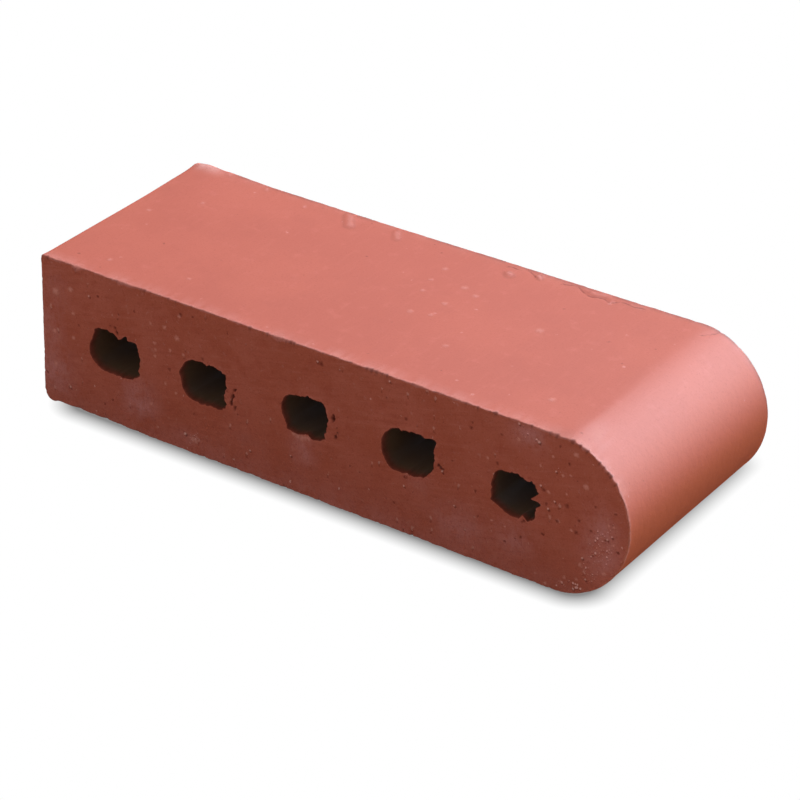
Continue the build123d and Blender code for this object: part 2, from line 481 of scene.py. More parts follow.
class CutFace:
    """One wire-cut face: its plane, which way it looks along Y, its fineness, its wear and its marks."""

    def __init__(self, plane, out, rings, seed, wear,
                 tears=(), chips=(), burrs=(), nicks=(), haze=(), scuff=()):
        self.plane, self.out, self.rings, self.seed, self.wear = plane, out, rings, seed, wear
        self.tears, self.chips, self.burrs, self.haze, self.scuff = tears, chips, burrs, haze, scuff
        draw = np.random.default_rng(seed)
        radius = ranged(draw.random(HOLLOW_COUNT) ** 2, HOLLOW_RADII)
        x = END_X + (NOSE_TIP_X - END_X) * draw.random(HOLLOW_COUNT)
        z = TOP_Z * draw.random(HOLLOW_COUNT)
        self.hollows = list(zip(x, z, radius, ranged(draw.random(HOLLOW_COUNT), HOLLOW_DEPTHS)))
        self.nick_shares = draw.random(NICK_COUNT)
        self.nick_widths = ranged(draw.random(NICK_COUNT), NICK_WIDTHS)
        self.nick_depths = ranged(draw.random(NICK_COUNT) ** 3, NICK_DEPTHS)
        self.drawn_nicks = nicks

    def tears_near(self, x, z):
        """Each tear's depth, and each point's fretted distance from it as a share of its half width."""
        fret = layered(lying(x, z), [TEAR_FRET], self.seed + 3)
        for line, half_width, depth in self.tears:
            yield depth, (line_distance(x, z, line) + fret) / half_width

    def relief(self, x, z):
        """Height of the face above its plane: slow waves, drag lines along X, grain, hollows and tears."""
        height = layered(lying(x, z), [FACE_WAVES], self.seed)
        height += layered(lying(x * DRAG_STRETCH, z + x * DRAG_SLOPE), [FACE_DRAG], self.seed + 1)
        height += layered(lying(x, z), [FACE_GRAIN], self.seed + 2)
        height += bowls(x, z, self.hollows)
        for depth, away in self.tears_near(x, z):
            height -= depth * (1 - smooth_step(away, 0.3, 1.3))
        return height

    def bells(self, outline, spots):
        """Sum along the outline of one bell for each spot: x, z, half width and height."""
        total = np.zeros(len(outline))
        for x, z, half_width, rise in spots:
            total += rise * np.exp(-((np.hypot(outline[:, 0] - x, outline[:, 1] - z) / half_width) ** 2))
        return total

    def nicks(self, outline):
        """Depth of the small nicks along the arris, drawn and seeded."""
        places = outline[(self.nick_shares * len(outline)).astype(int)]
        seeded = zip(*places.T, self.nick_widths, self.wear * self.nick_depths)
        return self.bells(outline, [*self.drawn_nicks, *seeded])

    def arris(self, outline):
        """Rounding of the arris along the outline, and how far it stands out of the face.

        Noise makes both uneven, less so at the square end. Chips round the arris, burrs round it and stand
        out, and nicks cut into it.
        """
        flat = lying(*outline.T)
        wear = self.wear * (0.25 + 0.75 * smooth_step(outline[:, 0], END_X + 0.1, END_X + 1.5))
        uneven = layered(flat, ARRIS_UNEVEN, self.seed + 4)
        stands_out = wear * layered(flat, ARRIS_STANDS_OUT, self.seed + 8)
        burr, nick = self.bells(outline, self.burrs), self.nicks(outline)
        radius = ARRIS_RADIUS + wear * uneven + self.bells(outline, self.chips) + burr + nick
        stands_out += BURR_STANDS_OUT * burr - NICK_CUTS_IN * nick
        return np.clip(radius, ARRIS_LEAST, ARRIS_MOST), stands_out

    def marks(self, x, z):
        """Haze, scuff and shade shares of the face. The shade is painted into the insides of tears."""
        cleft = np.zeros_like(x)
        for depth, away in self.tears_near(x, z):
            cleft = np.maximum(cleft, 1 - smooth_step(away, 0.3, 1.1))
        return {"haze": patches(x, z, self.haze), "scuff": patches(x, z, self.scuff), "cleft": cleft}


# Haze and scuffs on the cut faces: x, z, half width, half height, strength
FRONT_HAZE = [
    (-114.0, 12.0, 9.0, 10.0, 0.9), (-115.5, 30.0, 6.0, 18.0, 0.6), (-113.0, 45.0, 7.0, 9.0, 0.35),
    (-76.0, 13.0, 7.5, 8.0, 0.95), (-7.0, 17.0, 5.0, 6.0, 0.8), (-30.0, 12.0, 9.0, 5.0, 0.25),
    (-55.0, 5.0, 9.0, 4.0, 0.5), (56.0, 10.0, 12.0, 8.0, 0.6), (77.0, 13.0, 8.0, 7.0, 0.6),
    (81.0, 53.0, 7.0, 4.5, 0.75), (109.0, 22.0, 6.0, 11.0, 1.0), (40.0, 20.0, 5.0, 5.0, 0.3),
    (0.0, 0.0, 160.0, 8.0, 0.4),
]
FRONT_SCUFF = [
    (109.2, 21.0, 4.5, 8.5, 1.0), (112.0, 29.0, 3.0, 5.0, 0.6), (104.0, 10.5, 3.5, 5.0, 0.7),
    (101.0, 4.4, 3.2, 3.4, 0.7), (95.0, 3.5, 2.0, 2.6, 0.85), (80.0, 53.0, 5.0, 3.5, 0.5),
    (92.0, 45.0, 8.0, 6.0, 0.34), (90.0, 32.0, 8.0, 9.0, 0.28), (-53.0, 6.0, 4.0, 4.0, 0.6),
    (-106.0, 8.0, 3.0, 2.0, 0.5), (-66.0, 44.0, 8.0, 6.0, 0.25), (98.0, 25.0, 9.0, 9.0, 0.3),
]
BACK_HAZE = [
    (-80.0, 14.0, 22.0, 9.0, 0.7), (10.0, 48.0, 16.0, 6.0, 0.5), (70.0, 12.0, 14.0, 8.0, 0.6),
    (112.0, 30.0, 8.0, 14.0, 0.6),
]
BACK_SCUFF = [(-100.0, 30.0, 8.0, 14.0, 0.5), (40.0, 10.0, 10.0, 5.0, 0.4), (104.0, 40.0, 7.0, 9.0, 0.6)]

# Chips in the back arris: x, z, half width, added radius
BACK_CHIPS = [
    (-118.5, 56.0, 4.5, 2.9), (92.0, 0.0, 3.0, 0.7), (-117.0, 20.0, 2.0, 0.5), (40.0, 0.0, 3.0, 0.6),
]

# Seeds of the two faces, and how much their arrises are worn
FRONT_SEED, FRONT_WEAR = 11, 1.0
BACK_SEED, BACK_WEAR = 47, 0.4

front_face = CutFace(FRONT_Y, -1, FRONT_RINGS, FRONT_SEED, FRONT_WEAR, FRONT_TEARS, FRONT_CHIPS, FRONT_BURRS,
                     FRONT_NICKS, FRONT_HAZE, FRONT_SCUFF)
back_face = CutFace(BACK_Y, 1, BACK_RINGS, BACK_SEED, BACK_WEAR,
                    chips=BACK_CHIPS, haze=BACK_HAZE, scuff=BACK_SCUFF)


# Die skin

# Flares of the cut ends at the square end's corners: x, y, z, rise, reach along the outline, reach along Y
CORNER_FLARES = [
    (END_X, FRONT_Y, TOP_Z, 0.15, 3.0, 3.0), (END_X, FRONT_Y, BED_Z, 0.1, 4.0, 3.6),
    (END_X + END_SKEW, BACK_Y, TOP_Z, 0.8, 9.0, 5.0), (END_X + END_SKEW, BACK_Y, BED_Z, 0.3, 4.0, 3.6),
]

# Lean of the square end, whose foot stands out a little, and the shoulder where the top turns into the nose
END_LEAN = 0.35
SHOULDER_X = 95.4
SHOULDER_REACH = 3.0
SHOULDER_FADE_Y = (-38.0, 6.0)

# Sag of the top towards its back edge: x and height there. It begins at SAG_FROM_Y
BACK_SAG = [
    (-118.0, 0.5), (-105.0, 0.4), (-86.0, -0.3), (-30.0, -0.4), (8.0, -0.1), (60.0, -0.1), (88.0, 0.2),
]
SAG_FROM_Y = 8.0

# Dark line along the top's back edge: its share, its reach along Y, and where it begins
BACK_EDGE_DARK = 0.9
BACK_EDGE_DARK_REACH = 1.1
BACK_EDGE_DARK_FROM_X = (-107.0, -98.0)

# Wear of the top's front edge beside the nose: x, half length, drop, reach along Y
WORN_EDGE = (91.0, 6.0, 0.4, 2.6)

# Lift of the bed's front edge beside the square end: height, reach along Y, where it starts and where it ends
FOOT_LIFT = 0.6
FOOT_LIFT_REACH = 5.0
FOOT_LIFT_START = (-115.0, -112.5)
FOOT_LIFT_END = (-100.0, -70.0)

# Rubbed pale band along the cut edges: reach from the front edge and from the back edge
FRONT_RUB_REACH = 3.6
BACK_RUB_REACH = 2.6

# Relief of the plain skin: heights and sizes of its waves, and of its streaks along Y
SKIN_WAVES = ((0.05, 31.0), (0.012, 7.0))
SKIN_STREAKS = (0.008, 2.2)
STREAK_STRETCH = (1.0, 0.04, 1.0)

# Fret of the folded tongues' outlines: depth and size
TONGUE_FRET = (0.3, 2.1)

# Z of a normal from which the skin begins to count as top, and at which it wholly does
TOP_LOOKS_UP = (0.8, 0.99)

# Tongues of clay that the wire folded onto the top at the back
# Root (x, y), tip (x, y), half width, height, paleness
FOLDED_TONGUES = [
    ((-50.5, 44.0), (-45.6, 37.2), 1.9, 0.2, 0.5), ((-29.0, 42.8), (-26.4, 38.4), 1.5, 0.15, 0.5),
    ((20.0, 39.0), (20.8, 38.2), 1.7, 0.26, 0.7), ((29.2, 43.2), (30.6, 42.2), 1.1, 0.26, 0.9),
    ((66.0, 43.6), (70.0, 42.8), 1.3, 0.06, 0.3), ((-104.6, 44.6), (-103.6, 44.2), 1.3, 0.08, 0.8),
    ((-86.8, 43.6), (-86.2, 43.0), 1.0, 0.08, 0.8), ((-67.6, 40.2), (-67.2, 39.8), 0.8, 0.05, 0.6),
    ((51.0, 43.6), (55.0, 44.0), 1.4, 0.06, 0.4), ((59.4, 41.0), (60.4, 41.4), 0.8, 0.08, 0.7),
]

# Creases in the top, darkened along their line as painted shade: line of (x, y), half width, depth, height of
# the fold behind it
TOP_CREASES = [
    ([(45.2, 43.9), (48.0, 42.0), (51.0, 40.7), (53.3, 41.2), (55.6, 42.3), (57.3, 41.4), (59.4, 40.4),
      (60.6, 41.9)], 0.4, 0.28, 0.1),
    ([(62.0, 43.2), (63.6, 43.4), (67.5, 42.6), (70.4, 43.2)], 0.3, 0.12, 0.05),
    ([(95.6, 38.8), (97.0, 41.1), (98.0, 42.8), (99.0, 45.6)], 0.45, 0.4, 0.0),
    ([(17.2, 43.0), (18.6, 43.5), (20.9, 43.1)], 0.3, 0.16, 0.06),
    ([(39.6, 43.0), (41.9, 43.8)], 0.3, 0.14, 0.05),
    ([(24.6, 44.4), (26.7, 43.4), (28.4, 42.2)], 0.3, 0.14, 0.05),
]

# Small pits, darkened as painted shade, and pale grains on the top: x, y, radius
TOP_PITS = [
    (-26.8, 20.2, 0.75), (96.3, -40.3, 0.8), (39.0, -33.0, 0.6), (84.0, 6.0, 0.6), (-45.5, 44.0, 0.7),
    (-40.2, 43.0, 0.7), (-13.1, 42.4, 0.6), (-7.5, 38.3, 0.8), (-61.4, 42.7, 0.6), (88.0, 21.0, 0.5),
    (104.9, -6.6, 0.7),
]
TOP_GRAINS = [
    (0.4, 28.6, 1.0), (0.9, 18.9, 0.8), (3.0, 10.5, 0.9), (13.5, 20.5, 1.2), (19.8, 17.5, 1.1),
    (59.2, 39.9, 0.7), (14.4, 6.8, 1.0), (15.0, -2.7, 0.9), (50.4, 9.4, 1.4), (-96.7, -34.8, 0.9),
    (-98.0, 20.0, 0.8), (-110.0, 4.0, 0.9), (-66.0, -30.0, 0.8), (31.0, -18.0, 1.0), (78.0, -28.0, 1.1),
    (8.0, -4.7, 1.0), (101.0, -36.8, 1.2),
]

# Grazed pale places of the top, with painted highlights near the front of the nose and on the pale lump at
# the square end's back corner: x, y, half width, half length along Y, strength
PALE_AND_HIGHLIGHT_PATCHES = [
    (-86.5, -44.0, 1.6, 1.6, 0.7), (-83.4, -44.0, 1.8, 1.6, 1.0), (-102.3, -44.6, 2.4, 1.6, 0.9),
    (-113.0, -44.5, 9.0, 2.0, 0.7), (-17.5, -44.8, 3.0, 1.5, 0.8), (-116.0, 44.8, 9.0, 3.4, 3.0),
    (-118.5, -46.0, 3.0, 3.0, 0.8), (101.5, -37.0, 6.0, 8.0, 0.7),
]


def top_share(normal):
    """1 where the skin looks up, falling to 0 where it has turned away."""
    return smooth_step(normal[..., 1], *TOP_LOOKS_UP)


def tongues_near(points):
    """Each folded tongue's values, and each point's fretted distance from it as a share of its half width."""
    fret = layered(points, [TONGUE_FRET], 8)
    for root, tip, half_width, rise, paleness in FOLDED_TONGUES:
        away = line_distance(points[..., 0], points[..., 1], [root, tip]) + fret
        yield rise, paleness, away / half_width


def shoulder(x, y, up):
    """Clay that keeps the top flat up to SHOULDER_X and then falls away as exp of minus the distance.

    Its height is what the nose's ellipse has dropped by there. It is full at the front and fades to the back.
    """
    nose_x = NOSE_TIP_X - NOSE_DEPTH
    onto_nose = (np.clip(x, nose_x, SHOULDER_X) - nose_x) / NOSE_DEPTH
    rise = TOP_Z / 2 * (1 - np.sqrt(1 - onto_nose**2))
    rise *= np.exp(-np.maximum(x - SHOULDER_X, 0) / SHOULDER_REACH)
    return rise * smooth_step(up, 0.5, 0.8) * (1 - 0.9 * smooth_step(y, *SHOULDER_FADE_Y))


def skin_relief(points, normal):
    """Height of the die skin above the plain section.

    Lips rise towards both cut faces as exp of minus the squared distance, and flares at the square end's
    corners. There are slow waves and faint streaks along Y. The top has its shoulder, sags at the back, is
    worn at the front beside the nose, and carries folded tongues and creases. The bed's front edge is lifted
    beside the square end.
    """
    x, y, z = points[..., 0], points[..., 1], points[..., 2]
    up = normal[..., 1]
    top = top_share(normal)
    height = layered(points, SKIN_WAVES, 5) + layered(points * np.array(STREAK_STRETCH), [SKIN_STREAKS], 7)
    height -= END_LEAN * np.minimum(normal[..., 0], 0) * (1 - 2 * z / TOP_Z)
    height += shoulder(x, y, up)
    height += top * np.interp(x, *np.transpose(BACK_SAG)) * smooth_step(y, SAG_FROM_Y, BACK_Y)
    along = points * np.array([1.0, 0.0, 1.0])
    from_front, from_back = np.abs(y - FRONT_Y), np.abs(y - BACK_Y)
    uneven = 1 + 0.8 * clay_noise(along, 14.0, 21) + 0.5 * clay_noise(along, 3.0, 22)
    height += LIP_HEIGHT * uneven * np.exp(-((from_front / LIP_REACH) ** 2))
    uneven = 0.6 + 0.4 * clay_noise(along, 14.0, 31)
    height += LIP_HEIGHT * uneven * np.exp(-((from_back / LIP_REACH) ** 2))
    worn_x, half_length, drop, reach = WORN_EDGE
    height -= top * drop * np.exp(-(((x - worn_x) / half_length) ** 2) - (from_front / reach) ** 2)
    for corner_x, corner_y, corner_z, rise, reach, reach_y in CORNER_FLARES:
        near = np.hypot(x - corner_x, z - corner_z) / reach
        height += rise * np.exp(-(near**4) - ((y - corner_y) / reach_y) ** 2)
    lifted = smooth_step(x, *FOOT_LIFT_START) * (1 - smooth_step(x, *FOOT_LIFT_END))
    lifted *= smooth_step(-up, 0.3, 0.9)
    height -= FOOT_LIFT * lifted * np.exp(-((from_front / FOOT_LIFT_REACH) ** 2))
    for rise, paleness, away in tongues_near(points):
        height += top * rise * (1 - smooth_step(away, 0.3, 1.25))
    for line, half_width, depth, fold in TOP_CREASES:
        away = line_distance(x, y, line)
        behind = line_distance(x, y - 1.3, line)
        height -= top * depth * (1 - smooth_step(away, 0.2 * half_width, 1.6 * half_width))
        height += top * fold * (1 - smooth_step(behind, 0.6, 1.8))
    return height


def skin_pale_and_highlight(points, normal):
    """Share of pale, rubbed clay and of painted highlights: an uneven band along the cut edges, grazed
    places, painted highlights, and folded tongues.
    """
    x, y = points[..., 0], points[..., 1]
    top = top_share(normal)
    along = points * np.array([1.0, 0.3, 1.0])
    uneven = np.clip(0.34 + 0.5 * clay_noise(along, 5.0, 41) + 0.3 * clay_noise(along, 1.6, 42), 0, 1)
    front_rub = np.exp(-(((y - FRONT_Y) / FRONT_RUB_REACH) ** 2))
    back_rub = np.exp(-(((y - BACK_Y) / BACK_RUB_REACH) ** 2))
    pale = uneven * np.maximum(front_rub, 0.5 * back_rub)
    pale *= 1 - smooth_step(nose_turn(points, normal), 0.45, 0.9)
    # The patches hold grazed pale clay and painted highlights
    pale = np.maximum(pale, top * patches(x, y, PALE_AND_HIGHLIGHT_PATCHES) * (0.6 + 0.4 * clay_noise(along, 2.0, 43)))
    for rise, paleness, away in tongues_near(points):
        pale = np.maximum(pale, top * paleness * (1 - smooth_step(away, 0.1, 1.0)))
    return pale


def skin_shade_and_dark_line(points, normal):
    """Share of dark marks: an uneven dark line along the back edge, and painted shade around the low side of
    folded tongues.
    """
    x, y = points[..., 0], points[..., 1]
    uneven = np.clip(0.75 + 0.8 * clay_noise(points * np.array([1.0, 0.0, 1.0]), 9.0, 51), 0, 1)
    # A dark line painted along the top's back edge
    back_edge_dark = BACK_EDGE_DARK * uneven * np.exp(-(((y - BACK_Y) / BACK_EDGE_DARK_REACH) ** 2)) * smooth_step(x, *BACK_EDGE_DARK_FROM_X)
    cleft = np.zeros_like(x)
    # Painted shade: a ring around each folded tongue, moved to its low side
    for root, tip, half_width, rise, paleness in FOLDED_TONGUES:
        away = line_distance(x, y + 0.4 * half_width, [root, tip]) / half_width
        ring = smooth_step(away, 0.6, 0.95) * (1 - smooth_step(away, 1.0, 1.5))
        cleft = np.maximum(cleft, rise * ring)
    return np.maximum(top_share(normal) * cleft, smooth_step(normal[..., 1], -0.3, 0.2) * back_edge_dark)


def skin_creases(points, normal):
    """Sided distance to the nearest crease of the top, and a share that fades away from it."""
    x, y = points[..., 0], points[..., 1]
    nearest = np.full_like(x, 3.0)
    for line, half_width, depth, fold in TOP_CREASES:
        away = sided_distance(x, y, line)
        nearest = np.where(np.abs(away) < np.abs(nearest), away, nearest)
    share = top_share(normal) * (1 - smooth_step(np.abs(nearest), 0.9, 1.8))
    return nearest, share


def nose_turn(points, normal):
    """How far the skin has turned from looking up, on the nose only: 0 on top, 1 at the tip, 2 underneath."""
    nose_x = NOSE_TIP_X - NOSE_DEPTH
    return (1 - normal[..., 1]) * smooth_step(points[..., 0], nose_x - 12.0, nose_x + 4.0)


def skin_marks(points, normal):
    """All marks of the die skin."""
    crease, crease_share = skin_creases(points, normal)
    return {"pale": skin_pale_and_highlight(points, normal), "cleft": skin_shade_and_dark_line(points, normal),
            "crease": crease, "crease_share": crease_share, "nose_turn": nose_turn(points, normal)}


def raised(points, normal, height):
    """Points moved out along the section's normals by a height, and kept on or above the resting plane."""
    x = points[..., 0] + normal[..., 0] * height
    z = np.maximum(points[..., 2] + normal[..., 1] * height, BED_Z)
    return np.stack([x, points[..., 1], z], axis=-1)


def strip_marks(points, normal, outline, face_marks, margin, turn, run):
    """Marks of the front strip: the skin's and the cut face's, with the arris rubbed pale, partly as painted
    light against its shade, and crumbled.

    Its rows are shares over the face's margin, angles around the arris and shares of the run onto the skin.
    Crumbs are where fine noise is high: pale ones, and dark ones that are painted shade. Nicks are darkened
    inside as painted shade, and burrs are pale.
    """
    near_arris = 1 - margin
    marks = skin_marks(points, normal)
    face_share = np.concatenate([np.ones_like(margin), 1 - np.sin(turn), 0 * run])
    skin_share = np.concatenate([0 * margin, np.sin(turn), np.ones_like(run)])
    skin_side = 1 - smooth_step(run, 0.0, 0.5)
    pale_side = np.concatenate([0 * margin, 0.5 + 0.5 * np.sin(turn), skin_side])
    dark_side = np.concatenate([0.3 * near_arris**6, np.ones_like(turn), skin_side])
    inside = np.concatenate([0.3 * near_arris**3, 0.6 * np.cos(turn / 1.3), 0 * run])
    burr_side = np.concatenate([near_arris**8, np.ones_like(turn), np.ones_like(run)])
    # Painted shade: nicks darkened inside, and dark crumbs along the arris
    nick = smooth_step(front_face.nicks(outline), 0.12, 0.4) * inside
    burr = np.clip(front_face.bells(outline, FRONT_BURRS) / 0.5, 0, 1) * burr_side
    pale_crumb = smooth_step(clay_noise(points, 0.7, 61), 0.3, 0.55) * pale_side
    crumb_shade = 0.18 * smooth_step(clay_noise(points, 0.8, 62), 0.35, 0.6) * dark_side
    # Pale all round the arris: partly rubbed clay, partly painted light that lifts the arris out of its shade
    rubbed_and_lifted = pale_side * (0.6 + 0.3 * clay_noise(points, 3.1, 63))
    pales = [marks["pale"] * skin_share, 0.35 * burr, pale_crumb, rubbed_and_lifted]
    marks["pale"] = np.maximum.reduce(np.broadcast_arrays(*pales))
    shade_and_dark_lines = [marks["cleft"], face_marks["cleft"] * face_share, nick, crumb_shade]
    marks["cleft"] = np.maximum.reduce(np.broadcast_arrays(*shade_and_dark_lines))
    marks["haze"], marks["scuff"] = face_marks["haze"], face_marks["scuff"]
    return marks


def front_strip(clay, outline, normal, inward):
    """The fine strip over the front arris. Returns the coarse ring it starts from and its own point numbers.

    Rows run over the face's margin, around the arris, and a little way along the skin. Around the arris the
    outline is drawn in by r(1 - sin t) while Y runs on by r(1 - cos t).
    """
    border = outline - inward * BORDER_INSET
    border_y = FRONT_Y - front_face.relief(*border.T)
    ring = clay.add(np.stack([border[:, 0], border_y, border[:, 1]], axis=-1), **front_face.marks(*border.T))
    outline, normal, inward = thirds(outline), unit(thirds(normal)), unit(thirds(inward))
    radius, stands_out = front_face.arris(outline)
    rim = outline - inward * radius[:, None]
    rim_y = FRONT_Y - front_face.relief(*rim.T) - stands_out
    margin = np.array(MARGIN_SHARES)[:, None]
    turn = np.linspace(0, np.pi / 2, ARRIS_STEPS + 1)[:, None]
    run = np.array(RUN_SHARES)[:, None]
    margin_inset = radius + (BORDER_INSET - radius) * margin
    inset = np.concatenate([margin_inset, radius * (1 - np.sin(turn)), 0 * radius * run])
    x = outline[:, 0] - inward[:, 0] * inset
    z = outline[:, 1] - inward[:, 1] * inset
    rows = len(margin)
    face_y = FRONT_Y - front_face.relief(x[:rows], z[:rows])
    face_y -= stands_out * (1 - smooth_step(margin, 0.0, 0.6))
    skin_start = rim_y + radius
    skin_y = skin_start + (STRIP_END_Y - skin_start) * run
    y = np.concatenate([face_y, rim_y + radius * (1 - np.cos(turn)), skin_y])
    fade = np.concatenate([1 - margin, np.ones((len(turn) + len(run), 1))])
    spread = np.broadcast_to(normal, (*y.shape, 2))
    points = np.stack([leaning(x, y), y, z], axis=-1)
    marks = strip_marks(points, spread, outline, front_face.marks(x, z), margin, turn, run)
    numbers = clay.add(raised(points, spread, skin_relief(points, spread) * fade), **marks)
    clay.knit(ring, numbers[0], WIRE_CUT)
    clay.cover(numbers[:rows + 1], WIRE_CUT)
    clay.cover(numbers[rows:], DIE_SKIN)
    return ring, numbers


def die_skin(clay, outline, normal, inward):
    """The section carried along Y from the front strip's end to the back arris. Returns its point numbers."""
    radius, stands_out = back_face.arris(outline)
    rim = outline - inward * radius[:, None]
    rim_y = BACK_Y + back_face.relief(*rim.T) + stands_out
    turn = np.linspace(np.pi / 2, 0, ARRIS_STEPS + 1)[:, None]
    share = np.concatenate([np.linspace(0, BACK_ROWS_FROM, EVEN_ROWS, endpoint=False),
                            np.linspace(BACK_ROWS_FROM, 1, BACK_ROWS, endpoint=False)])[:, None]
    skin_y = STRIP_END_Y + (rim_y - radius - STRIP_END_Y) * share
    y = np.concatenate([skin_y, rim_y - radius * (1 - np.cos(turn))])
    inset = np.concatenate([0 * radius * share, radius * (1 - np.sin(turn))])
    x = outline[:, 0] - inward[:, 0] * inset
    z = outline[:, 1] - inward[:, 1] * inset
    spread = np.broadcast_to(normal, (*y.shape, 2))
    points = np.stack([leaning(x, y), y, z], axis=-1)
    numbers = clay.add(raised(points, spread, skin_relief(points, spread)), **skin_marks(points, spread))
    clay.cover(numbers, DIE_SKIN)
    return numbers


# Cores

def die_core_radius(angle):
    """Distance from the core's middle to its wall: a superellipse of the core's width and height."""
    wide = np.abs(np.cos(angle) / (CORE_WIDTH / 2)) ** CORE_SQUARENESS
    high = np.abs(np.sin(angle) / (CORE_HEIGHT / 2)) ** CORE_SQUARENESS
    return (wide + high) ** (-1 / CORE_SQUARENESS)


def torn_side(angle):
    """1 on the upper right of a core, where the wire tore the clay, falling to 0 on the lower left."""
    return (0.5 + 0.5 * np.cos(angle - TORN_TOWARDS)) ** 0.7


def ragged(angle, seed):
    """Ragged steps of a torn mouth, as noise on a circle, stronger on the torn side."""
    ring = np.stack([9 * np.cos(angle), 9 * np.sin(angle), np.zeros_like(angle)], axis=-1)
    rough = 0.8 * clay_noise(ring, 1.4, seed) + 0.8 * clay_noise(ring, 0.6, seed + 1)
    return RAGGEDNESS * rough * (0.2 + 0.8 * torn_side(angle))


def front_mouth_radius(core, angle):
    """The front mouth's outline: radius against angle between its drawn points, with ragged steps."""
    right, up = np.array(FRONT_MOUTHS[core]).T
    drawn = np.interp(angle, np.arctan2(up, right), np.hypot(right, up), period=2 * np.pi)
    return drawn + ragged(angle, 60 + core)


def back_mouth_radius(core, angle):
    """The hidden back mouth: the die's core, bulged a little and torn on the side that the wire left."""
    slow = np.stack([np.cos(angle), np.sin(angle), np.full_like(angle, core)], axis=-1)
    return die_core_radius(angle) + 0.7 * clay_noise(slow, 0.6, 81) + 1.4 * ragged(angle, 90 + core)


def mouth_edge(angle):
    """Rounding of the mouth: wide on the clean side, nearly sharp on the torn side."""
    return CLEAN_MOUTH_EDGE + (TORN_MOUTH_EDGE - CLEAN_MOUTH_EDGE) * torn_side(angle)


def polar(middle, radius, angle):
    """Points (x, z) at that radius and angle from a middle."""
    return middle[0] + radius * np.cos(angle), middle[1] + radius * np.sin(angle)


def cell_rings(rim, posts, bed_marks, top_marks):
    """Point numbers anticlockwise around each core's cell: the outline's stretch and its posts."""
    last = CORE_COUNT - 1
    rings = []
    for core in range(CORE_COUNT):
        if core == 0:
            around = [rim[top_marks[0]:], rim[:bed_marks[0] + 1], posts[0]]
        elif core == last:
            around = [rim[bed_marks[-1]:top_marks[-1] + 1], posts[-1][::-1]]
        else:
            around = [rim[bed_marks[core - 1]:bed_marks[core] + 1], posts[core],
                      rim[top_marks[core]:top_marks[core - 1] + 1], posts[core - 1][::-1]]
        rings.append(np.concatenate(around))
    return rings


def cut_face(clay, face, rim, bed_marks, top_marks, mouth_radius):
    """Covers a cut face with one cell for each core, and returns each cell's innermost ring and its angles.

    In a cell, a ray runs from the mouth's edge to the cell's border at each border point. Along it the share
    moves as (exp(c s) - 1) / (exp(c) - 1), so that rings crowd at the mouth.
    """
    posts = []
    count = round(TOP_Z / POST_STEP)
    for bed_mark, top_mark in zip(bed_marks, top_marks):
        foot, head = clay.points[rim[bed_mark]], clay.points[rim[top_mark]]
        line = foot + (head - foot) * np.arange(1, count)[:, None] / count
        line[:, 1] = face.plane + face.out * face.relief(line[:, 0], line[:, 2])
        posts.append(clay.add(line, **face.marks(line[:, 0], line[:, 2])))
    share = np.expm1(RING_CROWDING * np.arange(face.rings) / face.rings) / np.expm1(RING_CROWDING)
    mouths = []
    for core, ring in enumerate(cell_rings(rim, posts, bed_marks, top_marks)):
        border = clay.points[ring]
        middle = CORE_MIDDLES[core]
        angle = np.arctan2(border[:, 2] - middle[1], border[:, 0] - middle[0])
        edge_x, edge_z = polar(middle, mouth_radius(core, angle) + mouth_edge(angle), angle)
        x = edge_x + (border[:, 0] - edge_x) * share[:, None]
        z = edge_z + (border[:, 2] - edge_z) * share[:, None]
        away = np.hypot(x - edge_x, z - edge_z)
        flat = lying(x, z)
        burr = 0.3 * torn_side(angle) * np.exp(-away / 1.1) * (0.4 + clay_noise(flat, 1.6, face.seed + 7))
        hem = border[:, 1] - (face.plane + face.out * face.relief(border[:, 0], border[:, 2]))
        y = face.plane + face.out * (face.relief(x, z) + burr) + hem * smooth_step(share, 0.85, 1)[:, None]
        fringe = np.clip(0.25 + 0.9 * clay_noise(flat, 1.5, face.seed + 10), 0, 1) * torn_side(angle)
        pale = 0.8 * fringe * np.exp(-away / 0.6)
        cell = clay.add(np.stack([x, y, z], axis=-1), pale=pale, **face.marks(x, z))
        clay.cover(np.concatenate([cell, ring[None]]), WIRE_CUT, flip=face.out > 0)
        mouths.append((cell[0], angle))
    return mouths


